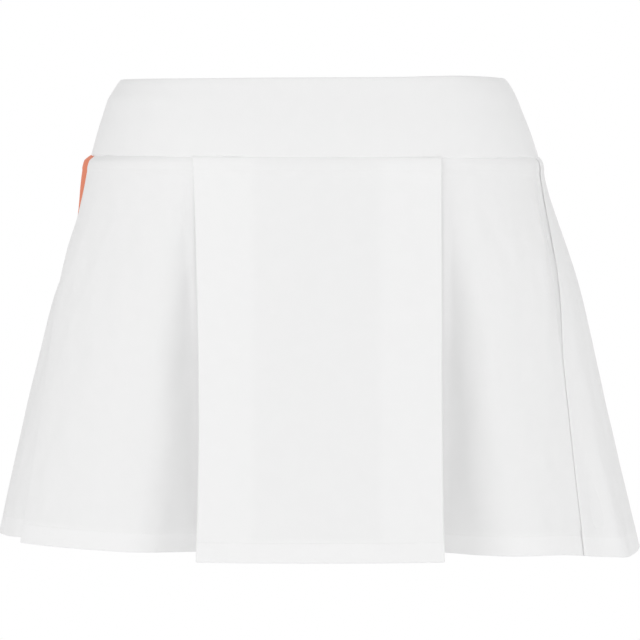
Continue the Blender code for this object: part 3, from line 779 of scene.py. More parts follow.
def shell_object(name, cloth, outer, inner, doubled, material):
    """A closed shell of cloth whose faces lie the outer and inner distances off the grid.

    Each row of the grid has its own pair of distances. The UV map holds metres along and down the
    cloth. The attribute doubled is 1 where the cloth is two layers thick, and is given for each
    point of the grid.
    """
    points = with_edge_columns(cloth.points, cloth.points)
    normals = with_edge_columns(cloth.normals, cloth.points)
    rows, columns = points.shape[:2]
    thickness = np.ones(columns)
    thickness[[0, -1]] = EDGE_SHARE
    middle = (outer - inner)[:, None, None] / 2
    half = (outer + inner)[:, None, None] / 2 * thickness[None, :, None]
    outside = points + normals * (middle + half)
    inside = points + normals * (middle - half)
    down = run_directions(points)
    bottom_rim = rim(outside[-1], inside[-1], down[-1])
    top_rim = rim(inside[0], outside[0], -down[0])
    loop = np.concatenate([outside, bottom_rim, inside[::-1], top_rim])

    index = np.arange(loop.shape[0] * columns).reshape(-1, columns)
    first_cap = [face[::-1] for face in side_caps(index, rows, 0)]
    faces = [*tube_faces(index), *first_cap, *side_caps(index, rows, columns - 1)]
    mesh = new_mesh(name, loop.reshape(-1, 3), faces)

    # The row of the grid that each point round the loop takes its UV and its doubling from.
    down_rows = np.arange(rows)
    row_of = np.concatenate([down_rows, [rows - 1] * RIM_POINTS, down_rows[::-1], [0] * RIM_POINTS])
    along = distances(points, 1)
    along -= along[:, columns // 2, None]
    uv = np.stack([along, distances(points, 0)], axis=-1)[row_of].reshape(-1, 2) * MM
    corners = np.zeros(len(mesh.loops), int)
    mesh.loops.foreach_get("vertex_index", corners)
    mesh.uv_layers.new(name="cloth").data.foreach_set("uv", uv[corners].astype(np.float32).ravel())
    layers = with_edge_columns(doubled[..., None], cloth.points)[row_of]
    attribute = mesh.attributes.new("doubled", "FLOAT", "POINT")
    attribute.data.foreach_set("value", layers.astype(np.float32).ravel())
    mesh.materials.append(material)
    return add_object(name, mesh)


# ---------------------------------------------------------------- materials

# A knit: the width of its wales, the height of its courses, both in millimetres, and how strongly
# its stitches stand out.
Knit = namedtuple("Knit", "wale course bump")
BAND_KNIT = Knit(0.62, 0.50, 0.35)
SKIRT_KNIT = Knit(0.55, 0.45, 0.30)
KNIT_SHINE = {"Sheen Weight": 0.12, "Sheen Roughness": 0.45, "Specular IOR Level": 0.28}
KNIT_DEPTH = 0.12  # height of the knit's stitches
LEG_SHARE = 0.28  # how much of a stitch's height comes from the slant of its legs
RIB_POWER = 0.7  # how flat the middle of a wale is
BETWEEN_STITCHES_PAINTED_SHADE = 0.975  # painted shade between its stitches: how bright the knit is there, as a share of its colour
KNIT_ROUGHNESS = (0.86, 0.74)  # between the stitches and on top of them
MOTTLE_SCALE = 90.0  # fineness of the knit's slow unevenness
MOTTLE_DETAIL = 3.0  # how many finer layers it has
MOTTLE_RANGE = (0.3, 0.7)  # the tones between which it shows
MOTTLE_SHADE = 0.992  # how bright the knit is where it is deepest, as a share of its colour

THREAD_SHINE = {"Sheen Weight": 0.2}
THREAD_ROUGHNESS = (0.62, 0.5)  # between a thread's plies and on top of them
PLY_SCALE = 900.0  # fineness of the plies twisted round a thread
PLY_PAINTED_SHADE = 0.93  # painted shade between its plies: how bright the thread is there, as a share of its colour


def add_node(tree, kind, inputs, **settings):
    """A new node with its settings, each of its inputs given a value or linked to a socket."""
    node = tree.nodes.new(kind)
    for name, value in settings.items():
        setattr(node, name, value)
    for name, value in inputs.items():
        if isinstance(value, bpy.types.NodeSocket):
            tree.links.new(value, node.inputs[name])
        else:
            node.inputs[name].default_value = value
    return node


def calculate(tree, operation, first, second=None):
    """The result of a sum on one or two numbers or sockets."""
    inputs = {0: first} if second is None else {0: first, 1: second}
    return add_node(tree, "ShaderNodeMath", inputs, operation=operation).outputs["Value"]


def map_range(tree, value, start, end, source=(0.0, 1.0)):
    """A socket's value, mapped from the source's two limits to a start and an end."""
    limits = {"From Min": source[0], "From Max": source[1], "To Min": start, "To Max": end}
    return add_node(tree, "ShaderNodeMapRange", {"Value": value, **limits}).outputs["Result"]


def mix_colours(tree, share, first, second):
    """A mix of two colours by a socket's value."""
    inputs = {"Factor": share, "A": (*first, 1.0), "B": (*second, 1.0)}
    return add_node(tree, "ShaderNodeMix", inputs, data_type="RGBA").outputs["Result"]


def new_group(name, kind, inputs, outputs):
    """A new node group, with the two nodes that hold its inputs and its outputs."""
    tree = bpy.data.node_groups.new(name, kind)
    for way, sockets in (("INPUT", inputs), ("OUTPUT", outputs)):
        for label, socket in sockets.items():
            tree.interface.new_socket(label, in_out=way, socket_type="NodeSocket" + socket)
    return tree, tree.nodes.new("NodeGroupInput"), tree.nodes.new("NodeGroupOutput")


def new_material(name, values):
    """A new material with values on its shader's own sockets, its node tree and its shader."""
    material = bpy.data.materials.new(name)
    material.use_nodes = True
    shader = material.node_tree.nodes["Principled BSDF"]
    for socket, value in values.items():
        shader.inputs[socket].default_value = value
    return material, material.node_tree, shader


def knit_group():
    """The shared knit: rows of small V stitches as a height, with a slow unevenness as a tone."""
    name = "fine_knit"
    if name in bpy.data.node_groups:
        return bpy.data.node_groups[name]
    tree, given, result = new_group(
        name,
        "ShaderNodeTree",
        {"Place": "Vector", "Wale": "Float", "Course": "Float", "Mottle": "Float"},
        {"Height": "Float", "Tone": "Float"},
    )
    place = given.outputs["Place"]
    split = add_node(tree, "ShaderNodeSeparateXYZ", {"Vector": place})
    wale = calculate(tree, "DIVIDE", split.outputs["X"], given.outputs["Wale"])
    course = calculate(tree, "DIVIDE", split.outputs["Y"], given.outputs["Course"])
    # Each wale is a column of V stitches: the courses climb towards both of its edges.
    across = calculate(tree, "FRACT", wale)
    from_middle = calculate(tree, "ABSOLUTE", calculate(tree, "SUBTRACT", across, 0.5))
    slant = calculate(tree, "ADD", course, from_middle)
    leg = calculate(tree, "SINE", calculate(tree, "MULTIPLY", slant, 2 * math.pi))
    rib = calculate(tree, "SINE", calculate(tree, "MULTIPLY", across, math.pi))
    leg_height = calculate(tree, "MULTIPLY", leg, LEG_SHARE)
    stitch = calculate(tree, "ADD", leg_height, 1 - LEG_SHARE)
    height = calculate(tree, "MULTIPLY", calculate(tree, "POWER", rib, RIB_POWER), stitch)
    tree.links.new(height, result.inputs["Height"])
    inputs = {"Vector": place, "Scale": given.outputs["Mottle"], "Detail": MOTTLE_DETAIL}
    mottle = add_node(tree, "ShaderNodeTexNoise", inputs)
    tree.links.new(mottle.outputs["Fac"], result.inputs["Tone"])
    return tree


def knit_material(name, colour, doubled_colour, knit):
    """A knitted cloth: brighter where it lies double, with its stitches as a fine bump and painted
    shade between them.
    """
    material, tree, shader = new_material(name, KNIT_SHINE)
    material.diffuse_color = (*colour, 1.0)
    place = add_node(tree, "ShaderNodeUVMap", {}, uv_map="cloth")
    inputs = {
        "Place": place.outputs["UV"],
        "Wale": knit.wale * MM,
        "Course": knit.course * MM,
        "Mottle": MOTTLE_SCALE,
    }
    stitches = add_node(tree, "ShaderNodeGroup", inputs, node_tree=knit_group())
    height, tone = stitches.outputs["Height"], stitches.outputs["Tone"]
    layers = add_node(tree, "ShaderNodeAttribute", {}, attribute_name="doubled")
    cloth = mix_colours(tree, layers.outputs["Fac"], colour, doubled_colour)

    # Painted shade darkens the colour a touch between stitches, and the knit's slow unevenness
    # deepens it a touch too.
    painted_shade_between = map_range(tree, height, BETWEEN_STITCHES_PAINTED_SHADE, 1.0)
    mottled = map_range(tree, tone, MOTTLE_SHADE, 1.0, MOTTLE_RANGE)
    inputs = {"Vector": cloth, "Scale": calculate(tree, "MULTIPLY", painted_shade_between, mottled)}
    colour_with_painted_shade = add_node(tree, "ShaderNodeVectorMath", inputs, operation="SCALE")
    tree.links.new(colour_with_painted_shade.outputs["Vector"], shader.inputs["Base Color"])

    roughness = map_range(tree, height, *KNIT_ROUGHNESS)
    tree.links.new(roughness, shader.inputs["Roughness"])
    inputs = {"Strength": knit.bump, "Distance": KNIT_DEPTH * MM, "Height": height}
    relief = add_node(tree, "ShaderNodeBump", inputs)
    tree.links.new(relief.outputs["Normal"], shader.inputs["Normal"])
    return material


def thread_material(name, colour):
    """Sewing thread, with plies twisted round it and painted shade between them."""
    material, tree, shader = new_material(name, THREAD_SHINE)
    material.diffuse_color = (*colour, 1.0)
    place = add_node(tree, "ShaderNodeTexCoord", {})
    inputs = {"Vector": place.outputs["Object"], "Scale": PLY_SCALE}
    plies = add_node(tree, "ShaderNodeTexWave", inputs, bands_direction="DIAGONAL").outputs["Fac"]
    # Painted shade between the plies: a darker copy of the thread's colour.
    painted_shade_between = [PLY_PAINTED_SHADE * value for value in colour]
    tree.links.new(mix_colours(tree, plies, painted_shade_between, colour), shader.inputs["Base Color"])
    roughness = map_range(tree, plies, *THREAD_ROUGHNESS)
    tree.links.new(roughness, shader.inputs["Roughness"])
    return material


# ---------------------------------------------------------------- sewing

STITCH_SIDES = 6  # sides of a thread's tube
STEEP = 0.2  # how much of a thread's direction has to lie level for its tube to be set by that
RUN_POINTS = 7  # points along a stitch of the hem's outer row
RUN_SHARE = 0.8  # how much of its spacing a stitch of the hem's outer row takes
RUN_RISE = 0.3  # how far its middle lies off the cloth, in thread diameters
RUN_BEND = 2.6  # how fast it goes down into the cloth from there
HEM_ROW = 1.2  # how far below the turn-up's cut edge the hem's outer row runs
COVER_WIDTH = 3.4  # width of the threads that cover the cut edge inside
COVER_RISE = 0.35  # how far they rise over the edge, in thread diameters
OVERLOCK_SPACING = 2.4  # distance from one loop of overlock to the next
OVERLOCK_DEPTH = 4.5  # how far the loops reach up from the cut edge
UNEVENNESS = 0.06  # how much larger or smaller than the rest a stitch may be

# A row of stitches: the line that it follows, the way that the cloth faces along it, the points of
# one stitch, and the thread's diameter, the spacing, the seed and the material.
Row = namedtuple("Row", "line facing stitch thread spacing seed material")


def tube_mesh(name, points, radius):
    """A closed tube of thread through some points in millimetres."""
    points = np.array(points, float)
    ahead = run_directions(points)
    aside = np.cross(ahead, (0.0, 0.0, 1.0))
    steep = np.linalg.norm(aside, axis=-1) < STEEP
    aside[steep] = np.cross(ahead[steep], (0.0, 1.0, 0.0))
    aside /= np.linalg.norm(aside, axis=-1, keepdims=True)
    above = np.cross(aside, ahead)
    turns = np.linspace(0, 2 * math.pi, STITCH_SIDES, endpoint=False)
    lines = [points + radius * (aside * math.cos(a) + above * math.sin(a)) for a in turns]
    index = np.arange(STITCH_SIDES * len(points)).reshape(STITCH_SIDES, -1)
    # Turned over, because these sides run the other way round than a shell's rows.
    sides = grid_faces(np.concatenate([index, index[:1]]).T)
    return new_mesh(name, np.concatenate(lines), [*sides, index[:, 0], index[::-1, -1]])


def run_stitch(spacing, thread):
    """One stitch of a plain row: it rises out of the cloth and goes back into it."""
    shares = np.linspace(-0.5, 0.5, RUN_POINTS)
    length = RUN_SHARE * spacing
    return [(length * s, 0.0, thread * (RUN_RISE - RUN_BEND * s * s)) for s in shares]


def overlock_stitch(spacing, depth, wall, thread):
    """One loop of overlock: a leg up each face of the edge and the thread that wraps round it.

    Each point lies a share of the spacing along the edge, a height up from it, and a share of the
    wall's half thickness out.
    """
    lift = wall / 2 + thread / 2
    return [
        (-spacing * 0.30, depth, -lift * 0.7),
        (-spacing * 0.28, depth * 0.55, -lift),
        (-spacing * 0.18, 0.1, -lift),
        (0.0, -thread, 0.0),
        (spacing * 0.12, 0.1, lift),
        (spacing * 0.24, depth * 0.55, lift),
        (spacing * 0.50, depth, lift * 0.8),
    ]


def cover_stitch(spacing, width, thread):
    """One turn of the looper thread that covers a cut edge: a zigzag across it and back."""
    return [
        (-spacing / 2, -width / 2, 0.0),
        (-spacing / 4, 0.0, thread * COVER_RISE),
        (0.0, width / 2, 0.0),
        (spacing / 4, 0.0, thread * COVER_RISE),
        (spacing / 2, -width / 2, 0.0),
    ]


def stitch_tree():
    """Geometry nodes that lay a stitch at even spacing along a line that lies on the cloth."""
    name = "stitch_row"
    if name in bpy.data.node_groups:
        return bpy.data.node_groups[name]
    tree, given, result = new_group(
        name,
        "GeometryNodeTree",
        {
            "Geometry": "Geometry",
            "Stitch": "Object",
            "Spacing": "Float",
            "Unevenness": "Float",
            "Seed": "Int",
            "Thread": "Material",
        },
        {"Geometry": "Geometry"},
    )
    wanted = given.outputs
    curve = add_node(tree, "GeometryNodeMeshToCurve", {"Mesh": wanted["Geometry"]})
    inputs = {"Curve": curve.outputs["Curve"], "Length": wanted["Spacing"]}
    even = add_node(tree, "GeometryNodeResampleCurve", inputs, mode="LENGTH")
    stitch = add_node(tree, "GeometryNodeObjectInfo", {"Object": wanted["Stitch"]})
    tangent = add_node(tree, "GeometryNodeInputTangent", {})
    inputs = {"Name": "facing"}
    facing = add_node(tree, "GeometryNodeInputNamedAttribute", inputs, data_type="FLOAT_VECTOR")
    turn = add_node(
        tree,
        "FunctionNodeAxesToRotation",
        {"Primary Axis": facing.outputs["Attribute"], "Secondary Axis": tangent.outputs["Tangent"]},
        primary_axis="Z",
        secondary_axis="X",
    )
    least = calculate(tree, "SUBTRACT", 1.0, wanted["Unevenness"])
    most = calculate(tree, "ADD", 1.0, wanted["Unevenness"])
    inputs = {"Min": least, "Max": most, "Seed": wanted["Seed"]}
    size = add_node(tree, "FunctionNodeRandomValue", inputs, data_type="FLOAT")
    inputs = {
        "Points": even.outputs["Curve"],
        "Instance": stitch.outputs["Geometry"],
        "Rotation": turn.outputs["Rotation"],
        "Scale": size.outputs["Value"],
    }
    stitches = add_node(tree, "GeometryNodeInstanceOnPoints", inputs)
    inputs = {"Geometry": stitches.outputs["Instances"]}
    real = add_node(tree, "GeometryNodeRealizeInstances", inputs)
    inputs = {"Geometry": real.outputs["Geometry"], "Material": wanted["Thread"]}
    finish = add_node(tree, "GeometryNodeSetMaterial", inputs)
    tree.links.new(finish.outputs["Geometry"], result.inputs["Geometry"])
    return tree


def cloth_row(cloth, drop, off):
    """Points and normals of one level of the cloth, some distance off the middle of its wall."""
    row = int(np.clip(np.searchsorted(cloth.drops, drop), 1, len(cloth.drops) - 1))
    share = (drop - cloth.drops[row - 1]) / (cloth.drops[row] - cloth.drops[row - 1])
    points, normals = (
        grid[row - 1] + (grid[row] - grid[row - 1]) * share
        for grid in (cloth.points, cloth.normals)
    )
    return points + normals * off, normals


def inner_face(cloth, half):
    """The inner face of a cloth, half its wall off the grid, as a surface to look for."""
    inside = cloth.points - cloth.normals * half
    index = np.arange(inside.shape[0] * inside.shape[1]).reshape(inside.shape[:2])
    return BVHTree.FromPolygons(inside.reshape(-1, 3).tolist(), grid_faces(index).tolist())


def allowance_cloth(start, end, hem_depth, allowance, half, cloth_half):
    """The cut edges below the waist seam, as one strip pressed down against the innermost layer.

    It is laid by looking outwards from the middle of the waist at what is nearest.
    """
    layers = [inner_face(cloth, cloth_half) for cloth in skirt_cloths(hem_depth, allowance)]
    layers.append(inner_face(band_cloth(start, end), BAND_WALL / 2))
    drops = np.linspace(BAND_DEPTH - ALLOWANCE_ABOVE, SKIRT_TOP + allowance, ALLOWANCE_ROWS)
    edge = degrees_for(row_at(SKIRT_RINGS, SKIRT_TOP), start, SEAM_LAP)
    angles = np.linspace(start + edge, end - edge, BAND_COLUMNS)
    heights = ORIGIN_DROP - drops[:, None] - tilt_at(angles).seam
    ways = ring_points(row_at(BAND_RINGS, BAND_DEPTH), angles)
    reach = np.linalg.norm(ways, axis=-1)
    ways = ways / reach[:, None]
    nearest = np.empty(heights.shape)
    for (i, j), height in np.ndenumerate(heights):
        eye, way = Vector((0, 0, height)), Vector((*ways[j], 0))
        hits = [layer.ray_cast(eye, way) for layer in layers]
        nearest[i, j] = min([hit[3] for hit in hits if hit[0]], default=reach[j])
    spread = range(-ALLOWANCE_SPREAD, ALLOWANCE_SPREAD + 1)
    margin = 2 * ALLOWANCE_SPREAD
    padded = np.pad(nearest, ((0, 0), (margin, margin)), mode="edge")
    lowest = np.min([np.roll(padded, k, axis=1) for k in spread], axis=0)
    smoothed = np.mean([np.roll(lowest, k, axis=1) for k in spread], axis=0)
    away = smoothed[:, margin:-margin, None] - half - ALLOWANCE_GAP
    points = np.concatenate([away * ways, heights[..., None]], axis=-1)
    runs = np.array(["allowance"] * len(angles))
    return Cloth(points, cloth_normals(points), drops, runs, np.broadcast_to(angles, heights.shape))


def sew(name, node, row):
    """Sews a row of stitches on to a node's cloth, as a piece of its own."""
    path = bpy.data.meshes.new(name + "_line")
    steps = [(i, i + 1) for i in range(len(row.line) - 1)]
    path.from_pydata((row.line * MM).tolist(), steps, [])
    attribute = path.attributes.new("facing", "FLOAT_VECTOR", "POINT")
    attribute.data.foreach_set("vector", row.facing.astype(np.float32).ravel())
    line = add_object(name + "_line", path)
    stitch = add_object(name + "_stitch", tube_mesh(name + "_stitch", row.stitch, row.thread / 2))
    nodes = line.modifiers.new("stitches", "NODES")
    nodes.node_group = stitch_tree()
    values = {
        "Stitch": stitch,
        "Spacing": row.spacing * MM,
        "Unevenness": UNEVENNESS,
        "Seed": row.seed,
        "Thread": row.material,
    }
    for item in nodes.node_group.interface.items_tree:
        if item.in_out == "INPUT" and item.name in values:
            nodes[item.identifier] = values[item.name]
    ready = line.evaluated_get(bpy.context.evaluated_depsgraph_get())
    mesh = bpy.data.meshes.new_from_object(ready)
    mesh.name = name
    bpy.data.objects.remove(line)
    bpy.data.objects.remove(stitch)
    if not len(mesh.polygons):
        raise RuntimeError(f"{name} has no stitches")
    piece = add_object(name, mesh)
    piece["sewn_on"] = node
    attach(piece, BODY)


# ---------------------------------------------------------------- settings


def length_setting(name, description, default, low, high):
    """A setting that holds a length in metres, between a low and a high limit."""
    return FloatProperty(
        name=name,
        description=description,
        default=default,
        min=low,
        max=high,
        precision=5,
        unit="LENGTH",
    )


def colour_setting(name, description, default):
    """A setting that holds a colour."""
    return FloatVectorProperty(
        name=name,
        description=description,
        default=default,
        size=3,
        min=0.0,
        max=1.0,
        subtype="COLOR",
    )


class SkirtCloth(PropertyGroup):
    """Sizes of the cloth and its seams."""

    thickness: length_setting(
        "Cloth thickness", "Thickness of one layer of skirt knit", 0.00047, low=0.0003, high=0.0009
    )
    hem_depth: length_setting(
        "Hem depth",
        "Height of the cloth that is turned up inside the hem",
        0.0146,
        low=0.008,
        high=0.03,
    )
    allowance: length_setting(
        "Seam allowance",
        "Width of the cloth that is left inside below the waist seam",
        0.0085,
        low=0.004,
        high=0.012,
    )


class SkirtColours(PropertyGroup):
    """Colours of the cloth and the thread."""

    white: colour_setting(
        "White knit", "Colour of the skirt's cloth where it is one layer", (0.845, 0.845, 0.845)
    )
    white_doubled: colour_setting(
        "White knit, doubled",
        "Colour of the white cloth where it is two layers, and so less see-through",
        (0.87, 0.87, 0.87),
    )
    waistband: colour_setting(
        "Waistband knit", "Colour of the waistband's firmer cloth", (0.862, 0.862, 0.862)
    )
    coral: colour_setting("Coral knit", "Colour of the insert at the side", (0.80, 0.23, 0.12))
    thread: colour_setting("Thread", "Colour of the sewing thread", (0.86, 0.86, 0.86))


class SkirtSewing(PropertyGroup):
    """Sizes of the stitches."""

    thread: length_setting(
        "Thread", "Diameter of the sewing thread", 0.00026, low=0.0001, high=0.0006
    )
    spacing: length_setting(
        "Stitch spacing",
        "Distance from one stitch of the hem to the next",
        0.0028,
        low=0.0015,
        high=0.006,
    )
    seed: IntProperty(
        name="Seed",
        description="Start of the small differences between stitches",
        default=7,
        min=0,
    )


class SkirtStudio(PropertyGroup):
    """The light and the floor."""

    waist_height: length_setting(
        "Waist height", "Height of the waist above the floor", 1.03, low=0.4, high=1.6
    )
    key_power: FloatProperty(
        name="Key light",
        description="Power that each of the soft lights has its own share of",
        default=14.2,
        min=0.0,
        unit="POWER",
    )
    ambient: FloatProperty(
        name="Ambient light",
        description="Brightness of the even light from all round",
        default=0.6,
        min=0.0,
    )


# ---------------------------------------------------------------- operators

# The pieces of the skirt below the waistband: the node that each takes the place of and its finish.
SKIRT_PIECES = (
    ("skirt_front", "skirt_knit"),
    ("skirt_back", "skirt_knit"),
    ("side_insert", "insert_knit"),
)
BAND_PIECES = (("waistband_front", 0.0, 180.0), ("waistband_back", 180.0, 360.0))
SETTING_DIGITS = 4  # digits of a millimetre that a setting is good for
NODE_ROOM = 0.010  # how far a piece may stand out of its node's box, in metres
NODE_SHARE = 0.03  # the share of the box's size that is added to that


def in_mm(*lengths):
    """Lengths in metres, in millimetres, without the last digits that a setting adds."""
    return [round(length / MM, SETTING_DIGITS) for length in lengths]


def cloth_sizes(context):
    """The cloth's thickness, the hem's depth and the seam allowance, in millimetres."""
    sizes = context.scene.skirt_cloth
    return in_mm(sizes.thickness, sizes.hem_depth, sizes.allowance)


def replace_node(piece, node):
    """Puts a piece in a node's place, and stops if it has left the space that the node holds."""
    low, high = map(np.array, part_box(node))
    corners = np.array([corner[:] for corner in piece.bound_box])
    room = NODE_SHARE * (high - low) + NODE_ROOM
    if (corners < low - room).any() or (corners > high + room).any():
        raise RuntimeError(f"{piece.name} reaches outside {node}")
    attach(piece, BODY)
    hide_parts(node)


class SKIRT_OT_allowance(Operator):
    """Make the waist seam's cut edges inside: a strip below the seam, bound with overlock"""

    bl_idname = "skirt.allowance"
    bl_label = "Waist seam allowance"
    bl_options = {"REGISTER", "UNDO"}

    def execute(self, context):
        colours, sewing = context.scene.skirt_colours, context.scene.skirt_sewing
        thickness, hem_depth, allowance = cloth_sizes(context)
        white = colours.white_doubled
        material = knit_material("allowance_knit", white, white, SKIRT_KNIT)
        thread = thread_material("overlock_thread", colours.thread)
        (thick,) = in_mm(sewing.thread)
        half = ALLOWANCE_WALL / 2
        for seed, (node, start, end) in enumerate(BAND_PIECES, sewing.seed):
            cloth = allowance_cloth(start, end, hem_depth, allowance, half, thickness / 2)
            wall = np.full(len(cloth.drops), half)
            doubled = np.ones(cloth.points.shape[:2])
            strip = shell_object(node + "_allowance", cloth, wall, wall, doubled, material)
            strip["sewn_on"] = node
            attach(strip, BODY)
            line, facing = cloth_row(cloth, cloth.drops[-1] + half, 0.0)
            loop = overlock_stitch(OVERLOCK_SPACING, OVERLOCK_DEPTH, ALLOWANCE_WALL, thick)
            row = Row(line, facing, loop, thick, OVERLOCK_SPACING, seed, thread)
            sew(node + "_overlock", node, row)
        return {"FINISHED"}


class SKIRT_OT_hem_stitches(Operator):
    """Sew the hem: a fine row of stitches outside and the threads that cover the cut edge inside"""

    bl_idname = "skirt.hem_stitches"
    bl_label = "Hem stitches"
    bl_options = {"REGISTER", "UNDO"}

    def execute(self, context):
        colours, sewing = context.scene.skirt_colours, context.scene.skirt_sewing
        thickness, hem_depth, allowance = cloth_sizes(context)
        thick, spacing = in_mm(sewing.thread, sewing.spacing)
        threads = {
            "skirt_knit": thread_material("white_thread", colours.thread),
            "insert_knit": thread_material("coral_thread", colours.coral),
        }
        cut_edge = LENGTH - hem_depth
        inside = -1.5 * thickness - thick / 2  # on the inner face of the two layers
        pieces = zip(skirt_cloths(hem_depth, allowance), SKIRT_PIECES)
        for seed, (cloth, (node, slot)) in enumerate(pieces, sewing.seed + len(BAND_PIECES)):
            finish = (thick, spacing, seed, threads[slot])
            line, facing = cloth_row(cloth, cut_edge + HEM_ROW, thickness / 2)
            row = Row(line, facing, run_stitch(spacing, thick), *finish)
            sew(node + "_hem_row", node, row)
            line, facing = cloth_row(cloth, cut_edge + COVER_WIDTH / 2, inside)
            row = Row(line, -facing, cover_stitch(spacing, COVER_WIDTH, thick), *finish)
            sew(node + "_hem_cover", node, row)
        return {"FINISHED"}


class SKIRT_OT_waistband(Operator):
    """Make the waistband's two halves: a doubled knit with a rounded fold along its top"""

    bl_idname = "skirt.waistband"
    bl_label = "Waistband"
    bl_options = {"REGISTER", "UNDO"}

    def execute(self, context):
        colour = context.scene.skirt_colours.waistband
        material = knit_material("waistband_knit", colour, colour, BAND_KNIT)
        for node, start, end in BAND_PIECES:
            cloth = band_cloth(start, end)
            half = np.full(len(cloth.drops), BAND_WALL / 2)
            doubled = np.ones(cloth.points.shape[:2])
            piece = shell_object(node + "_knit", cloth, half, half, doubled, material)
            replace_node(piece, node)
        return {"FINISHED"}


class SKIRT_OT_cloth(Operator):
    """Make the skirt's front, back and insert as thin cloth with creases and a turned-up hem"""

    bl_idname = "skirt.cloth"
    bl_label = "Skirt cloth"
    bl_options = {"REGISTER", "UNDO"}

    def execute(self, context):
        colours = context.scene.skirt_colours
        thickness, hem_depth, allowance = cloth_sizes(context)
        white = (colours.white, colours.white_doubled)
        materials = {
            "skirt_knit": knit_material("skirt_knit", *white, SKIRT_KNIT),
            "insert_knit": knit_material("coral_knit", colours.coral, colours.coral, SKIRT_KNIT),
        }
        for cloth, (node, slot) in zip(skirt_cloths(hem_depth, allowance), SKIRT_PIECES):
            below_edge = cloth.drops - (LENGTH - hem_depth)
            outer = np.full(len(cloth.drops), thickness / 2)
            inner = outer + np.where(below_edge > -TURN_UP_STEP / 2, thickness, 0.0)
            turned_up = ease(below_edge / TURN_UP_SHADE + 0.5)[:, None]
            doubled = np.maximum(turned_up, backing(cloth))
            piece = shell_object(node + "_knit", cloth, outer, inner, doubled, materials[slot])
            replace_node(piece, node)
        return {"FINISHED"}


class SKIRT_OT_stage(Operator):
    """Make the plain floor, the soft studio lights and the camera"""

    bl_idname = "skirt.stage"
    bl_label = "Studio"
    bl_options = {"REGISTER", "UNDO"}

    def execute(self, context):
        studio = context.scene.skirt_studio
        make_floor(studio.waist_height)
        make_world(studio.ambient)
        for light in LIGHTS:
            make_light(light, studio.key_power)
        make_camera()
        context.scene.view_settings.view_transform = "Standard"
        return {"FINISHED"}


# ---------------------------------------------------------------- studio, in metres

WHITE = (1.0, 1.0, 1.0, 1.0)
FLOOR_RADIUS = 3.0
FLOOR_SIDES = 96
FLOOR_PAINT = {"Base Color": (0.86, 0.86, 0.86, 1.0), "Roughness": 0.9}

# Soft lights: where each stands, its width and its share of the key light's power.
Light = namedtuple("Light", "name place width share")
LIGHTS = (
    Light("key_right_of_wearer", (-1.9, -2.3, 0.5), 1.6, 1.2),
    Light("key_left_of_wearer", (1.9, -2.3, 0.5), 1.6, 0.8),
    Light("front_fill", (0.0, -3.2, 0.7), 2.4, 1.0),
    Light("side_right_of_wearer", (-2.9, -0.2, 0.5), 1.6, 0.6),
    Light("side_left_of_wearer", (2.9, -0.2, 0.5), 1.6, 0.9),
    Light("rear_fill", (0.0, 3.2, 0.7), 2.0, 3.0),
)
LIGHT_TARGET = (0.0, 0.0, -0.13)

IMAGE_WIDTH = 640  # pixels
FOCAL_LENGTH = 3602  # pixels
SENSOR_WIDTH = 36.0  # millimetres
CAMERA_PLACE = (0.0021, -2.507, -0.003)
CAMERA_PITCH = 3.158  # degrees below the horizon


def make_floor(waist_height):
    """A plain round floor."""
    turns = np.linspace(0, 2 * math.pi, FLOOR_SIDES, endpoint=False)
    edge = [(FLOOR_RADIUS * math.cos(a), FLOOR_RADIUS * math.sin(a), -waist_height) for a in turns]
    mesh = bpy.data.meshes.new("floor")
    mesh.from_pydata(edge, [], [range(FLOOR_SIDES)])
    mesh.materials.append(new_material("floor_paint", FLOOR_PAINT)[0])
    add_object("floor", mesh)


def make_world(ambient):
    """Even light from all round, which the camera sees as plain white."""
    world = bpy.data.worlds.new("studio")
    world.use_nodes = True
    tree = world.node_tree
    light = tree.nodes["Background"]
    light.inputs["Strength"].default_value = ambient
    light.inputs["Color"].default_value = WHITE
    seen = add_node(tree, "ShaderNodeBackground", {"Color": WHITE})
    path = add_node(tree, "ShaderNodeLightPath", {})
    inputs = {
        "Fac": path.outputs["Is Camera Ray"],
        1: light.outputs["Background"],
        2: seen.outputs["Background"],
    }
    choose = add_node(tree, "ShaderNodeMixShader", inputs)
    tree.links.new(choose.outputs["Shader"], tree.nodes["World Output"].inputs["Surface"])
    bpy.context.scene.world = world


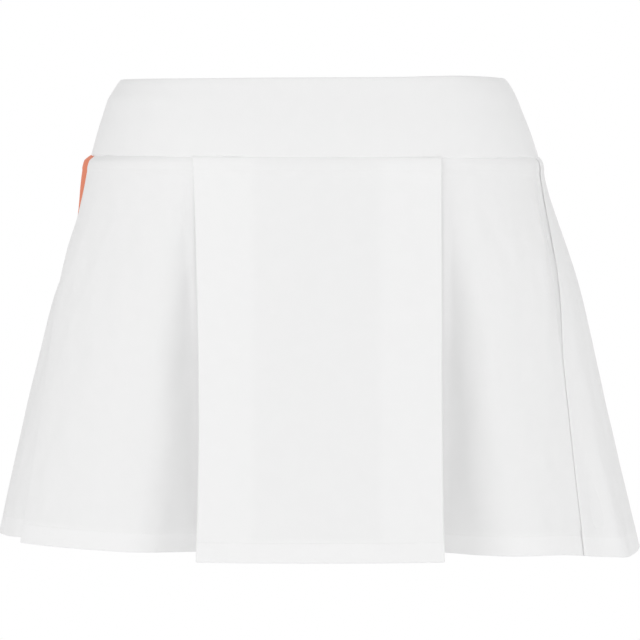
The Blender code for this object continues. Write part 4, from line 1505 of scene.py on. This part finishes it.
def make_light(light, key_power):
    """A soft round light that faces the skirt."""
    data = bpy.data.lights.new(light.name, "AREA")
    data.shape = "DISK"
    data.size = light.width
    data.energy = key_power * light.share
    lamp = add_object(light.name, data)
    lamp.location = light.place
    ahead = Vector(LIGHT_TARGET) - Vector(light.place)
    lamp.rotation_euler = ahead.to_track_quat("-Z", "Y").to_euler()


def make_camera():
    """The camera, level with the waist and straight in front of it."""
    data = bpy.data.cameras.new("camera")
    data.sensor_width = SENSOR_WIDTH
    data.lens = SENSOR_WIDTH * FOCAL_LENGTH / IMAGE_WIDTH
    camera = add_object("camera", data)
    camera.location = CAMERA_PLACE
    camera.rotation_euler = (math.radians(90 - CAMERA_PITCH), 0.0, 0.0)
    bpy.context.scene.camera = camera


# ---------------------------------------------------------------- add-on


class SKIRT_PT_sidebar(Panel):
    """The skirt's steps and settings in the 3D view's sidebar"""

    bl_label = "Tennis Skirt"
    bl_space_type = "VIEW_3D"
    bl_region_type = "UI"
    bl_category = "Skirt"

    def draw(self, context):
        for name in SETTINGS:
            settings = getattr(context.scene, name)
            column = self.layout.column(align=True)
            for key in settings.__annotations__:
                column.prop(settings, key)
        for step in STEPS:
            self.layout.operator(step.bl_idname)


STEPS = (
    SKIRT_OT_allowance,
    SKIRT_OT_hem_stitches,
    SKIRT_OT_waistband,
    SKIRT_OT_cloth,
    SKIRT_OT_stage,
)
SETTINGS = {
    "skirt_cloth": SkirtCloth,
    "skirt_colours": SkirtColours,
    "skirt_sewing": SkirtSewing,
    "skirt_studio": SkirtStudio,
}


def register():
    for group in (*SETTINGS.values(), *STEPS, SKIRT_PT_sidebar):
        bpy.utils.register_class(group)
    for name, group in SETTINGS.items():
        setattr(bpy.types.Scene, name, PointerProperty(type=group))


def unregister():
    for name in SETTINGS:
        delattr(bpy.types.Scene, name)
    for group in reversed((*SETTINGS.values(), *STEPS, SKIRT_PT_sidebar)):
        bpy.utils.unregister_class(group)


def main():
    register()
    bpy.ops.skirt.allowance()
    bpy.ops.skirt.hem_stitches()
    bpy.ops.skirt.waistband()
    bpy.ops.skirt.cloth()
    bpy.ops.skirt.stage()


if __name__ == "__main__":
    main()
